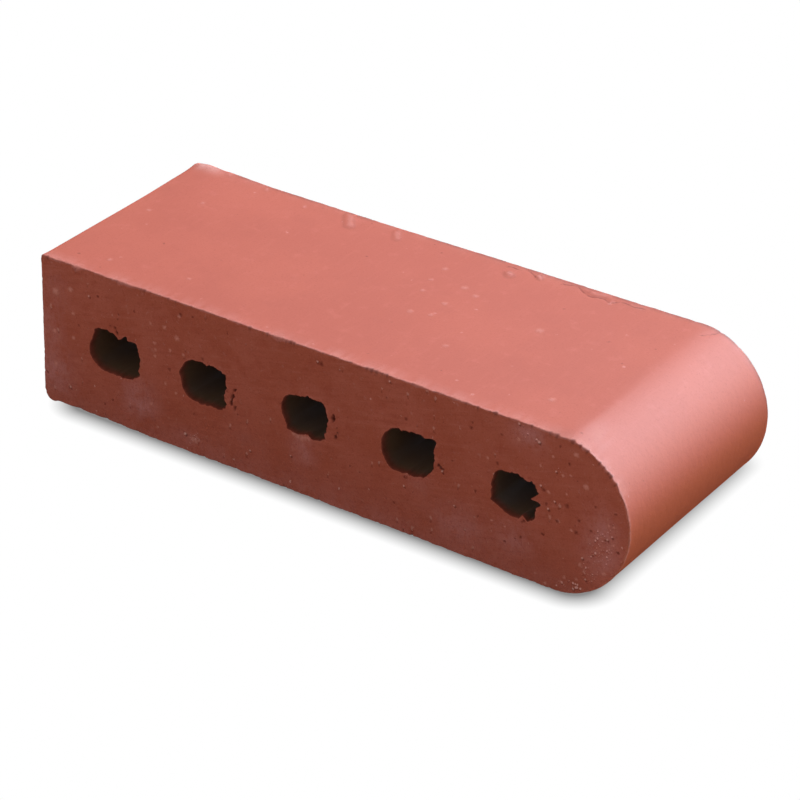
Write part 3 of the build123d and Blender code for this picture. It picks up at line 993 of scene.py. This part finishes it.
def core_wall(clay, core, front, back):
    """Carries a core's outline along Y: torn front mouth, the die's own core, torn back mouth."""
    (front_ring, front_angle), (back_ring, back_angle) = front, back
    middle = CORE_MIDDLES[core]
    turn = np.linspace(0, np.pi / 2, MOUTH_STEPS + 1)[1:, None]
    share = np.linspace(-1, 1, CORE_STEPS + 1)[1:-1, None]
    share = (1 + share + CORE_CROWDING * np.sin(np.pi * share) / np.pi) / 2
    front_edge, back_edge = mouth_edge(front_angle), mouth_edge(back_angle)
    front_y, back_y = clay.points[front_ring, 1], clay.points[back_ring, 1]
    inner_start, inner_end = front_y + front_edge, back_y - back_edge
    y = np.concatenate([front_y + front_edge * (1 - np.cos(turn)),
                        inner_start + (inner_end - inner_start) * share,
                        back_y - back_edge * (1 - np.cos(turn[::-1]))])
    flare = np.concatenate([front_edge * (1 - np.sin(turn)), 0 * share * front_edge,
                            back_edge * (1 - np.sin(turn[::-1]))])
    through = np.clip((y - FRONT_Y) / (BACK_Y - FRONT_Y), 0, 1)
    angle = np.unwrap(front_angle) + (np.unwrap(back_angle) - np.unwrap(front_angle)) * through
    plain = die_core_radius(angle)
    at_front = 1 - smooth_step(y - FRONT_Y, 0, TEAR_DEPTH)
    at_back = 1 - smooth_step(BACK_Y - y, 0, TEAR_DEPTH)
    radius = plain + (front_mouth_radius(core, angle) - plain) * at_front
    radius += (back_mouth_radius(core, angle) - plain) * at_back + flare
    x, z = polar(middle, radius, angle)
    drawn = np.stack([x, y * 0.1, z], axis=-1)
    radius = radius + (1 - at_front) * (1 - at_back) * 0.2 * clay_noise(drawn, 2.4, 71 + core)
    x, z = polar(middle, radius, angle)
    inward = np.minimum(y - FRONT_Y, BACK_Y - y)
    walls = clay.add(np.stack([x, y, z], axis=-1), depth=1 - np.exp(-np.maximum(inward, 0) / 5.0))
    clay.cover(np.concatenate([front_ring[None], walls, back_ring[None]]), CORE_WALL, flip=True)


# Finishes

def colour(red, green, blue):
    """An opaque colour."""
    return (red, green, blue, 1.0)


class Finish:
    """A material's nodes, with short calls for the ones that fired clay needs. Sizes are in millimetres."""

    def __init__(self, name):
        self.material = bpy.data.materials.new(name)
        self.material.use_nodes = True
        self.tree = self.material.node_tree
        self.tree.nodes.clear()
        self.shader = self.tree.nodes.new("ShaderNodeBsdfPrincipled")
        output = self.tree.nodes.new("ShaderNodeOutputMaterial")
        self.tree.links.new(self.shader.outputs["BSDF"], output.inputs["Surface"])
        self.place = self.tree.nodes.new("ShaderNodeTexCoord").outputs["Object"]

    def put(self, socket, value):
        """Links an output to a socket, or sets the socket's own value."""
        if isinstance(value, bpy.types.NodeSocket):
            self.tree.links.new(value, socket)
        else:
            socket.default_value = value

    def stretched(self, stretch, shift, rise=0.0):
        """Object coordinates scaled by axis, and moved so that patterns differ. Rise moves them in Z."""
        mapping = self.tree.nodes.new("ShaderNodeMapping")
        mapping.inputs["Scale"].default_value = stretch
        mapping.inputs["Location"].default_value = (shift, -shift, shift / 2 + rise * MM)
        self.tree.links.new(self.place, mapping.inputs["Vector"])
        return mapping.outputs["Vector"]

    def field(self, vector, size, detail, rough=0.5):
        """Noise node of that size, read at a vector."""
        node = self.tree.nodes.new("ShaderNodeTexNoise")
        node.inputs["Scale"].default_value = 1 / (size * MM)
        node.inputs["Detail"].default_value = detail
        node.inputs["Roughness"].default_value = rough
        self.tree.links.new(vector, node.inputs["Vector"])
        return node

    def noise(self, size, detail=2.0, rough=0.5, stretch=(1, 1, 1), shift=0.0):
        """Noise from 0 to 1 in Object coordinates."""
        return self.field(self.stretched(stretch, shift), size, detail, rough).outputs["Fac"]

    def strokes(self, size, turn, shift):
        """Noise drawn out along X by STROKE_LENGTH, and turned about Y by degrees."""
        mapping = self.tree.nodes.new("ShaderNodeMapping")
        mapping.vector_type = "TEXTURE"
        mapping.inputs["Rotation"].default_value = (0.0, math.radians(turn), 0.0)
        mapping.inputs["Scale"].default_value = (STROKE_LENGTH, 1.0, 1.0)
        mapping.inputs["Location"].default_value = (shift, shift, shift)
        self.tree.links.new(self.place, mapping.inputs["Vector"])
        return self.field(mapping.outputs["Vector"], size, 3.0).outputs["Fac"]

    def cells(self, size, shift, stretch, rise):
        """Distance to the nearest grain as a share of their spacing, and two random numbers of that grain."""
        node = self.tree.nodes.new("ShaderNodeTexVoronoi")
        node.inputs["Scale"].default_value = 1 / (size * MM)
        self.tree.links.new(self.stretched(stretch, shift, rise), node.inputs["Vector"])
        split = self.tree.nodes.new("ShaderNodeSeparateColor")
        self.tree.links.new(node.outputs["Color"], split.inputs["Color"])
        return node.outputs["Distance"], split.outputs["Red"], split.outputs["Green"]

    def mark(self, name):
        """One of the mesh's own marks."""
        node = self.tree.nodes.new("ShaderNodeAttribute")
        node.attribute_name = name
        return node.outputs["Fac"]

    def band(self, value, low, high, out_low=0.0, out_high=1.0):
        """Value moved smoothly from out_low at low to out_high at high."""
        node = self.tree.nodes.new("ShaderNodeMapRange")
        node.interpolation_type = "SMOOTHSTEP"
        names = ("From Min", "From Max", "To Min", "To Max")
        for name, number in zip(names, (low, high, out_low, out_high)):
            self.put(node.inputs[name], number)
        self.put(node.inputs["Value"], value)
        return node.outputs["Result"]

    def math(self, operation, first, second):
        """One arithmetic operation on two values."""
        node = self.tree.nodes.new("ShaderNodeMath")
        node.operation = operation
        self.put(node.inputs[0], first)
        self.put(node.inputs[1], second)
        return node.outputs["Value"]

    def product(self, first, *others):
        """Values multiplied together."""
        for other in others:
            first = self.math("MULTIPLY", first, other)
        return first

    def blend(self, base, over, share, strength=None):
        """Base colour with another laid over it by a share, which a strength weakens."""
        node = self.tree.nodes.new("ShaderNodeMix")
        node.data_type = "RGBA"
        self.put(node.inputs["Factor"], share if strength is None else self.product(share, strength))
        self.put(node.inputs["A"], base)
        self.put(node.inputs["B"], over)
        return node.outputs["Result"]

    def mottle(self, base, over, value, low, high, strength=1.0):
        """Base colour with another laid over it: none where a value is low, and strength where it is high."""
        return self.blend(base, over, self.band(value, low, high, 0.0, strength))

    def grains(self, size, spread, density, shift=0.0, stretch=(1, 1, 1), rise=0.0):
        """Share of small uneven grains: within a spread that varies, in as many of the cells as density says.

        Noise frets the distance, so that a grain isn't round, and each grain has a strength of its own.
        """
        distance, chance, own = self.cells(size, shift, stretch, rise)
        fret = self.math("SUBTRACT", self.noise(0.28 * size, 2, 0.6, shift=shift), 0.5)
        uneven = self.math("ADD", distance, self.product(fret, 0.55))
        reach = self.product(self.math("ADD", own, 0.35), spread)
        inside = self.band(self.math("SUBTRACT", uneven, reach), 0.04, -0.06)
        strength = self.math("ADD", self.product(own, 0.6), 0.4)
        return self.product(inside, strength, self.math("LESS_THAN", chance, density))

    def spots(self, places, soft=0.55, fretted=0.9):
        """Strongest of several drawn spots, each a place and a radius. Noise frets their outlines."""
        fret = self.field(self.place, fretted / 2, 3.0, 0.7)
        warped = self.tree.nodes.new("ShaderNodeVectorMath")
        warped.operation = "MULTIPLY_ADD"
        self.tree.links.new(fret.outputs["Color"], warped.inputs[0])
        warped.inputs[1].default_value = (fretted * MM, fretted * MM, fretted * MM)
        self.tree.links.new(self.place, warped.inputs[2])
        share = 0.0
        for *place, radius in places:
            away = self.tree.nodes.new("ShaderNodeVectorMath")
            away.operation = "DISTANCE"
            self.tree.links.new(warped.outputs["Vector"], away.inputs[0])
            away.inputs[1].default_value = [(value + fretted / 2) * MM for value in place]
            inside = self.band(away.outputs["Value"], radius * (1 + soft) * MM, radius * (1 - soft) * MM)
            share = self.math("MAXIMUM", inside, share)
        return share

    def bump(self, height, deep, before=None):
        """Normal tilted by a height worth a depth in millimetres, over an earlier normal if given."""
        node = self.tree.nodes.new("ShaderNodeBump")
        node.inputs["Distance"].default_value = deep * MM
        self.tree.links.new(height, node.inputs["Height"])
        if before is not None:
            self.tree.links.new(before, node.inputs["Normal"])
        return node.outputs["Normal"]

    def dull(self):
        """Makes the surface rough and nearly without gloss, as cut clay is."""
        rough = self.band(self.noise(2.0, 3, shift=0.8), 0.3, 0.7, 0.82, 0.95)
        self.put(self.shader.inputs["Roughness"], rough)
        self.shader.inputs["Specular IOR Level"].default_value = 0.05


# Colours of the die skin
SKIN_RED = colour(0.545, 0.119, 0.07)
SKIN_LIGHT = colour(0.58, 0.13, 0.077)
SKIN_DEEP = colour(0.515, 0.111, 0.066)
SKIN_PINK = colour(0.62, 0.15, 0.1)
# Painted warm bounce light: warmer, more orange tones for the nose as its skin turns down
NOSE_WARM_BOUNCE = colour(0.595, 0.124, 0.06)
NOSE_UNDERSIDE_BOUNCE = colour(0.545, 0.11, 0.034)
# Pale of rubbed clay, also used for painted highlights and for painted light on the arris
RUBBED_PINK_AND_HIGHLIGHT = colour(0.86, 0.42, 0.38)
SKIN_GRAIN = colour(0.46, 0.085, 0.05)
SKIN_GRIT = colour(0.7, 0.26, 0.2)
SKIN_SPOT = colour(0.76, 0.33, 0.27)
# Painted shade of pits
SKIN_PIT_SHADE = colour(0.26, 0.045, 0.028)
SKIN_DRAWN_PIT_SHADE = colour(0.3, 0.05, 0.03)
# Painted shade of tears, nicks, crumbs and folded tongues, and the back edge's dark line
SKIN_SHADE_AND_DARK_LINE = colour(0.16, 0.025, 0.015)
# Painted shade of creases
SKIN_CREASE_SHADE = colour(0.26, 0.035, 0.018)

# Thin coat that gives the die skin its sheen
COAT_WEIGHT = 0.02
COAT_ROUGHNESS = 0.6
COAT_IOR = 2.9

# How far the wire's strokes on the cut faces are drawn out
STROKE_LENGTH = 9.0

# Colours of the wire-cut faces
CUT_RED = colour(0.57, 0.13, 0.074)
CUT_LIGHT = colour(0.62, 0.152, 0.094)
CUT_DEEP = colour(0.52, 0.11, 0.062)
STROKE_DARK = colour(0.42, 0.075, 0.042)
STROKE_PALE = colour(0.72, 0.22, 0.155)
CUT_HAZE = colour(0.72, 0.262, 0.232)
CUT_SMUDGE = colour(0.72, 0.27, 0.21)
CUT_SHADE = colour(0.43, 0.075, 0.042)
CUT_GRAIN_DARK = colour(0.34, 0.055, 0.03)
CUT_GRAIN_PALE = colour(0.8, 0.25, 0.18)
FLECK = colour(1.0, 0.5, 0.42)
FLECK_SHADE = colour(0.3, 0.05, 0.03)
SLIVER = colour(0.84, 0.38, 0.3)
SLIVER_SHADE = colour(0.28, 0.045, 0.026)
GRIT = colour(1.0, 0.52, 0.43)
FAINT_PALE = colour(0.86, 0.34, 0.26)
# Painted shade of pits, and beside grains of grit
CUT_PIT_SHADE = colour(0.28, 0.046, 0.028)
CUT_DRAWN_PIT_SHADE = colour(0.24, 0.04, 0.024)
# Painted shade of tears, nicks and crumbs
CUT_CLEFT_SHADE = colour(0.07, 0.012, 0.008)

# Place of the painted shade drawn as a pit beside each bright grain of grit, from the grain: right and up
GRIT_SHADE_OFFSET = (0.4, -0.5)

# Colours of the core walls
CORE_DARK = colour(0.2, 0.04, 0.024)
CORE_RED = colour(0.3, 0.065, 0.042)
# Painted light: a lifted brown for deep in the core
CORE_DEEP_FILL_BROWN = colour(0.152, 0.089, 0.049)


def on_top(places, size):
    """Drawn places (x, y, radius) put onto the top, with their radii scaled."""
    return [(x, y, TOP_Z, size * radius) for x, y, radius in places]


def on_front(places, size, right=0.0, up=0.0):
    """Drawn places (x, z, radius) put onto the front face and moved, with their radii scaled."""
    return [(x + right, FRONT_Y, z + up, size * radius) for x, z, radius in places]


def die_skin_finish():
    """Smooth salmon-red skin: soft mottling, painted warm bounce light on the nose, pale rubbed edges with
    painted highlights, fine grain, few pits darkened as painted shade, sheen.
    """
    clay = Finish("die_skin_clay")
    base = clay.mottle(SKIN_RED, SKIN_LIGHT, clay.noise(46, 3), 0.35, 0.65)
    base = clay.mottle(base, SKIN_DEEP, clay.noise(12, 4, 0.6, shift=0.3), 0.5, 0.8, 0.5)
    base = clay.mottle(base, SKIN_PINK, clay.noise(5, 3, 0.6, shift=0.7), 0.54, 0.8, 0.5)
    drag = clay.noise(1.3, 3, 0.6, stretch=(1, 0.12, 1), shift=0.9)
    base = clay.mottle(base, SKIN_PINK, drag, 0.5, 0.8, 0.3)
    # Painted warm bounce light on the nose, growing as its skin turns down from looking up
    base = clay.mottle(base, NOSE_WARM_BOUNCE, clay.mark("nose_turn"), 0.12, 0.5)
    base = clay.mottle(base, NOSE_UNDERSIDE_BOUNCE, clay.mark("nose_turn"), 0.55, 1.05)
    # Rubbed pale clay, with painted highlights and the arris lifted as painted light
    base = clay.blend(base, RUBBED_PINK_AND_HIGHLIGHT, clay.mark("pale"), 0.42)
    grain = clay.noise(0.7, 3, 0.6, shift=1.1)
    base = clay.mottle(base, SKIN_GRAIN, grain, 0.52, 0.75, 0.45)
    base = clay.blend(base, SKIN_GRIT, clay.grains(5.0, 0.07, 0.3, 2.1), 0.6)
    pale_spots = clay.spots(on_top(TOP_GRAINS, 0.9), 0.9, 2.4)
    base = clay.blend(base, SKIN_SPOT, pale_spots, 0.3)
    # Painted shade in pits, strewn and drawn
    base = clay.blend(base, SKIN_PIT_SHADE, clay.grains(6.0, 0.06, 0.3, 3.3), 0.6)
    base = clay.blend(base, SKIN_DRAWN_PIT_SHADE, clay.spots(on_top(TOP_PITS, 0.6)), 0.6)
    # Painted shade in tears, nicks, crumbs and beside folded tongues, and the dark line along the back edge
    base = clay.blend(base, SKIN_SHADE_AND_DARK_LINE, clay.mark("cleft"), 0.8)
    # Painted shade along the creases, broken in places
    line = clay.band(clay.math("ABSOLUTE", clay.mark("crease"), 0.0), 0.5, 0.1, 0.0, 0.6)
    broken = clay.band(clay.noise(2.6, 2, shift=8.3), 0.35, 0.6, 0.35, 1.0)
    base = clay.blend(base, SKIN_CREASE_SHADE, clay.product(line, broken, clay.mark("crease_share")))
    clay.put(clay.shader.inputs["Base Color"], base)
    rough = clay.band(clay.noise(3.0, 4, 0.65, shift=1.9), 0.3, 0.7, 0.6, 0.7)
    clay.put(clay.shader.inputs["Roughness"], rough)
    clay.shader.inputs["Specular IOR Level"].default_value = 0.0
    clay.shader.inputs["Coat Weight"].default_value = COAT_WEIGHT
    clay.shader.inputs["Coat Roughness"].default_value = COAT_ROUGHNESS
    clay.shader.inputs["Coat IOR"].default_value = COAT_IOR
    normal = clay.bump(clay.noise(0.9, 2, stretch=(1, 0.03, 1), shift=0.5), 0.015)
    normal = clay.bump(grain, 0.04, normal)
    normal = clay.bump(pale_spots, 0.12, normal)
    on_nose = clay.band(clay.mark("nose_turn"), 0.03, 0.3)
    normal = clay.bump(clay.product(clay.noise(3.6, 4, 0.65, shift=6.1), on_nose), 0.24, normal)
    clay.put(clay.shader.inputs["Normal"], normal)
    return clay.material


def cut_colour(clay):
    """Colour of cut clay, and its pits: deep red, mottled, with haze, smudges and pale grit, and painted
    shade in pits and clefts and beside flecks, slivers and grit.
    """
    base = clay.mottle(CUT_RED, CUT_LIGHT, clay.noise(22, 4, 0.6), 0.35, 0.65)
    base = clay.mottle(base, CUT_DEEP, clay.noise(6, 4, 0.6, shift=0.4), 0.5, 0.75, 0.6)
    strokes = clay.strokes(1.5, -14.0, 0.35)
    base = clay.mottle(base, STROKE_DARK, strokes, 0.52, 0.75, 0.28)
    base = clay.mottle(base, STROKE_PALE, strokes, 0.46, 0.25, 0.25)
    wisps = clay.band(clay.noise(6, 5, 0.7, shift=1.3), 0.22, 0.62)
    thinned = clay.band(clay.noise(1.2, 3, 0.65, (1, 1, 0.4), 7.7), 0.3, 0.6, 0.55, 1)
    haze = clay.product(clay.mark("haze"), clay.product(wisps, thinned))
    base = clay.blend(base, CUT_HAZE, haze)
    base = clay.mottle(base, CUT_SMUDGE, clay.noise(2.2, 3, 0.6, shift=3.1), 0.58, 0.78, 0.4)
    base = clay.mottle(base, CUT_SHADE, clay.noise(1.1, 3, 0.6, shift=2.2), 0.55, 0.75, 0.4)
    base = clay.mottle(base, CUT_GRAIN_DARK, clay.noise(0.6, 2, 0.6, shift=4.1), 0.54, 0.72, 0.3)
    base = clay.mottle(base, CUT_GRAIN_PALE, clay.noise(0.6, 2, 0.6, shift=5.3), 0.56, 0.74, 0.25)
    base = clay.blend(base, CUT_GRAIN_PALE, clay.mark("pale"), 0.7)
    scuff = clay.mark("scuff")
    crowd = clay.band(scuff, 0.2, 0.8, 0.0, 0.95)
    shades = clay.grains(0.85, 0.36, crowd, 0.9, (1, 1, 0.8), rise=0.4)
    base = clay.blend(base, FLECK_SHADE, shades, 0.5)
    base = clay.blend(base, FLECK, clay.grains(0.85, 0.36, crowd, 0.9, (1, 1, 0.8)))
    crowd = clay.band(scuff, 0, 1, 0.3, 0.65)
    shades = clay.grains(3.4, 0.14, crowd, 2.4, (1, 1, 0.6), rise=0.6)
    base = clay.blend(base, SLIVER_SHADE, shades, 0.6)
    base = clay.blend(base, SLIVER, clay.grains(3.4, 0.13, crowd, 2.4, (1, 1, 0.6)), 0.7)
    base = clay.blend(base, FAINT_PALE, clay.spots(on_front(FAINT_GRIT, 0.95), 0.9, 2.2), 0.75)
    # Painted shade in pits, strewn and drawn, and beside bright grit
    pits = clay.grains(3.6, 0.11, 0.2, 2.9)
    base = clay.blend(base, CUT_PIT_SHADE, pits, 0.7)
    pit_places = on_front(FRONT_PITS, 0.9) + on_front(BRIGHT_GRIT, 0.7, *GRIT_SHADE_OFFSET)
    drawn_pits = clay.spots(pit_places, 0.9, 1.5)
    base = clay.blend(base, CUT_DRAWN_PIT_SHADE, drawn_pits, 0.85)
    strewn = clay.grains(4.0, 0.075, clay.band(scuff, 0, 1, 0.12, 0.8), 1.7)
    base = clay.blend(base, GRIT, clay.math("MAXIMUM", strewn, clay.spots(on_front(BRIGHT_GRIT, 0.6), 0.7)))
    # Painted shade in tears, nicks and crumbs
    base = clay.blend(base, CUT_CLEFT_SHADE, clay.mark("cleft"), 0.85)
    return base, clay.math("MAXIMUM", pits, drawn_pits)


def wire_cut_finish():
    """Dull rough face that the wire left: cut colour, open grain and small pits."""
    clay = Finish("wire_cut_clay")
    base, pits = cut_colour(clay)
    clay.put(clay.shader.inputs["Base Color"], base)
    clay.dull()
    normal = clay.bump(clay.noise(0.8, 4, 0.65, shift=1.5), 0.2)
    normal = clay.bump(clay.noise(1.4, 3, 0.6, stretch=(0.12, 1, 1), shift=0.6), 0.12, normal)
    normal = clay.bump(clay.math("SUBTRACT", 1.0, pits), 0.22, normal)
    clay.put(clay.shader.inputs["Normal"], normal)
    return clay.material


def core_wall_finish():
    """Core walls: dark red at the mouth, and browner inwards, where the colour is kept up as painted light
    against the shade deep in the core.
    """
    clay = Finish("core_wall_clay")
    base = clay.mottle(CORE_DARK, CORE_RED, clay.noise(3.0, 4, 0.6), 0.3, 0.7)
    # Painted light: the lifted brown grows with depth into the core
    base = clay.blend(base, CORE_DEEP_FILL_BROWN, clay.band(clay.mark("depth"), 0.0, 0.6, 0.1, 0.95))
    clay.put(clay.shader.inputs["Base Color"], base)
    clay.dull()
    clay.put(clay.shader.inputs["Normal"], clay.bump(clay.noise(1.2, 4, 0.6, stretch=(1, 0.1, 1)), 0.3))
    return clay.material


def fired_brick():
    """The whole brick as one closed piece, riding on the frame in place of the plain solid."""
    clay = Clay()
    outline, normal, bed_marks, top_marks = section_outline()
    inward = eased(outline, normal)
    border, strip = front_strip(clay, outline, normal, inward)
    skin = die_skin(clay, outline, normal, inward)
    clay.knit(skin[0], strip[-1], DIE_SKIN, flip=True)
    fronts = cut_face(clay, front_face, border, bed_marks, top_marks, front_mouth_radius)
    backs = cut_face(clay, back_face, skin[-1], bed_marks, top_marks, back_mouth_radius)
    for core in range(CORE_COUNT):
        core_wall(clay, core, fronts[core], backs[core])
    mesh = clay.mesh("fired_brick", [die_skin_finish(), wire_cut_finish(), core_wall_finish()])
    brick = bpy.data.objects.new("fired_brick", mesh)
    bpy.context.scene.collection.objects.link(brick)
    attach(brick, "root")
    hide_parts("clay_brick")
    return brick


# Stage, light and camera

# Floor and surroundings, in metres and as shares of white
FLOOR_SIZE = 8.0
FLOOR_DROP = 0.0002
FLOOR_GREY = 0.4
AMBIENT_LEVEL = 0.3

# Contact shadow: its oblong's corners and rounding, its reach, depth and fade, and where it is lost in Y
CONTACT_LOW = Vector((-110.5, -46.0, 0.0)) * MM
CONTACT_HIGH = Vector((103.3, 66.0, 0.0)) * MM
CONTACT_CORNER = 8.0 * MM
CONTACT_REACH = 9.0 * MM
CONTACT_DEPTH = 0.74
CONTACT_FADE = 1.3
CONTACT_BACK = (78.0 * MM, 50.0 * MM)

BRICK_MIDDLE = Vector((0.0, 0.0, TOP_Z / 2 * MM))


def show_white(tree, unseen, seen, output):
    """Sends camera, glossy and transmission rays to the seen shader, and all other rays to the unseen one."""
    path = tree.nodes.new("ShaderNodeLightPath")
    seen_rays = path.outputs["Is Camera Ray"]
    for name in ("Is Glossy Ray", "Is Transmission Ray"):
        either = tree.nodes.new("ShaderNodeMath")
        either.operation = "MAXIMUM"
        tree.links.new(seen_rays, either.inputs[0])
        tree.links.new(path.outputs[name], either.inputs[1])
        seen_rays = either.outputs["Value"]
    mix = tree.nodes.new("ShaderNodeMixShader")
    tree.links.new(seen_rays, mix.inputs["Fac"])
    tree.links.new(unseen, mix.inputs[1])
    tree.links.new(seen, mix.inputs[2])
    tree.links.new(mix.outputs["Shader"], output.inputs["Surface"])


def white_surroundings():
    """Even soft light from all round, which looks white."""
    world = bpy.data.worlds.new("white_surroundings")
    world.use_nodes = True
    tree = world.node_tree
    tree.nodes.clear()
    output = tree.nodes.new("ShaderNodeOutputWorld")
    ambient = tree.nodes.new("ShaderNodeBackground")
    ambient.inputs["Color"].default_value = colour(AMBIENT_LEVEL, AMBIENT_LEVEL, AMBIENT_LEVEL)
    white = tree.nodes.new("ShaderNodeBackground")
    white.inputs["Color"].default_value = colour(1.0, 1.0, 1.0)
    show_white(tree, ambient.outputs["Background"], white.outputs["Background"], output)
    bpy.context.scene.world = world


def contact_shade(tree):
    """The brick's contact shadow on the floor: 1 in the open, down to 1 - CONTACT_DEPTH at the brick's foot.

    The distance from the foot's outline, an oblong with round corners, as a share of the reach, is taken from
    1 and raised to the fade's power. Behind the brick it is lost between the two places in Y of CONTACT_BACK.
    """
    place = tree.nodes.new("ShaderNodeTexCoord").outputs["Object"]
    split = tree.nodes.new("ShaderNodeSeparateXYZ")
    tree.links.new(place, split.inputs["Vector"])
    behind = tree.nodes.new("ShaderNodeMapRange")
    behind.interpolation_type = "SMOOTHSTEP"
    behind.inputs["From Min"].default_value, behind.inputs["From Max"].default_value = CONTACT_BACK
    tree.links.new(split.outputs["Y"], behind.inputs["Value"])
    middle = (CONTACT_LOW + CONTACT_HIGH) / 2
    inner = CONTACT_HIGH - middle - Vector((CONTACT_CORNER, CONTACT_CORNER, 0.0))
    for operation, amount in (("SUBTRACT", middle), ("ABSOLUTE", None), ("SUBTRACT", inner),
                              ("MAXIMUM", (0, 0, 0)), ("MULTIPLY", (1, 1, 0)), ("LENGTH", None)):
        step = tree.nodes.new("ShaderNodeVectorMath")
        step.operation = operation
        tree.links.new(place, step.inputs[0])
        if amount is not None:
            step.inputs[1].default_value = amount
        place = step.outputs["Value" if operation == "LENGTH" else "Vector"]
    near = tree.nodes.new("ShaderNodeMapRange")
    open_floor = CONTACT_CORNER + CONTACT_REACH
    near.inputs["From Min"].default_value, near.inputs["From Max"].default_value = open_floor, CONTACT_CORNER
    tree.links.new(place, near.inputs["Value"])
    value = near.outputs["Result"]
    lost = behind.outputs["Result"]
    steps = (("POWER", CONTACT_FADE), ("MULTIPLY", lost), ("MULTIPLY", -CONTACT_DEPTH), ("ADD", 1.0))
    for operation, amount in steps:
        step = tree.nodes.new("ShaderNodeMath")
        step.operation = operation
        tree.links.new(value, step.inputs[0])
        if amount is lost:
            tree.links.new(lost, step.inputs[1])
        else:
            step.inputs[1].default_value = amount
        value = step.outputs["Value"]
    return value


def pale_floor():
    """Plain pale floor that looks white, and darkens only close to the brick's foot."""
    half = FLOOR_SIZE / 2
    around = ((-half, -half), (half, -half), (half, half), (-half, half))
    corners = [(x, y, -FLOOR_DROP) for x, y in around]
    mesh = bpy.data.meshes.new("pale_floor")
    mesh.from_pydata(corners, [], [(0, 1, 2, 3)])
    material = bpy.data.materials.new("pale_floor")
    material.use_nodes = True
    tree = material.node_tree
    tree.nodes.clear()
    output = tree.nodes.new("ShaderNodeOutputMaterial")
    matt = tree.nodes.new("ShaderNodeBsdfDiffuse")
    matt.inputs["Color"].default_value = colour(FLOOR_GREY, FLOOR_GREY, FLOOR_GREY)
    white = tree.nodes.new("ShaderNodeEmission")
    tree.links.new(contact_shade(tree), white.inputs["Strength"])
    show_white(tree, matt.outputs["BSDF"], white.outputs["Emission"], output)
    mesh.materials.append(material)
    floor = bpy.data.objects.new("pale_floor", mesh)
    bpy.context.scene.collection.objects.link(floor)
    floor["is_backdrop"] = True


# Lamps: name, direction from the brick's middle, distance, size, power, tint, whether it feeds only the sheen
WHITE = (1.0, 1.0, 1.0)
SKY_TINT = (0.83, 0.86, 1.0)
LAMPS = [
    ("key_lamp", (0.25, 0.75, 0.61), 2.4, 1.3, 66.0, WHITE, False),
    ("nose_sheen_lamp", (0.39, 0.73, 0.56), 2.4, 2.9, 2600.0, SKY_TINT, True),
    ("top_sheen_lamp", (-0.4, 0.75, 0.5), 2.4, 2.2, 180.0, SKY_TINT, True),
    ("front_fill_lamp", (-0.4, -0.86, 0.3), 2.0, 1.2, 2.4, WHITE, False),
]


def soft_lamp(name, towards, distance, size, power, tint, sheen_only):
    """A square soft lamp at that distance from the brick's middle, in that direction, facing it."""
    lamp = bpy.data.lights.new(name, "AREA")
    lamp.size = size
    lamp.energy = power
    lamp.color = tint
    lamp_object = bpy.data.objects.new(name, lamp)
    lamp_object.visible_diffuse = not sheen_only
    direction = Vector(towards).normalized()
    lamp_object.location = BRICK_MIDDLE + direction * distance
    lamp_object.rotation_euler = direction.to_track_quat("Z", "Y").to_euler()
    bpy.context.scene.collection.objects.link(lamp_object)


# Camera: the place it looks at, its distance in metres, its angles and its lens in millimetres
CAMERA_AIM = Vector((11.7, -15.2, 28.7)) * MM
CAMERA_DISTANCE = 0.9874
CAMERA_AZIMUTH = math.radians(33.14)
CAMERA_ELEVATION = math.radians(29.61)
CAMERA_ROLL = math.radians(1.54)
CAMERA_LENS = 131.68


def photo_camera():
    """Camera at the viewing angle, with a long lens."""
    camera = bpy.data.cameras.new("camera")
    camera.lens = CAMERA_LENS
    camera_object = bpy.data.objects.new("camera", camera)
    level = math.cos(CAMERA_ELEVATION)
    right, forward = math.sin(CAMERA_AZIMUTH) * level, math.cos(CAMERA_AZIMUTH) * level
    back = Vector((right, -forward, math.sin(CAMERA_ELEVATION)))
    camera_object.location = CAMERA_AIM + back * CAMERA_DISTANCE
    camera_object.rotation_mode = "QUATERNION"
    turn = (-back).to_track_quat("-Z", "Y")
    camera_object.rotation_quaternion = turn @ Quaternion((0.0, 0.0, 1.0), CAMERA_ROLL)
    bpy.context.scene.collection.objects.link(camera_object)
    bpy.context.scene.camera = camera_object


fired_brick()
white_surroundings()
pale_floor()
for lamp_values in LAMPS:
    soft_lamp(*lamp_values)
photo_camera()
bpy.context.scene.view_settings.view_transform = "Standard"

boxes = {"cad": (cad_low, cad_high), "visual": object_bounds()}
{name: [list(corner) for corner in box] for name, box in boxes.items()}
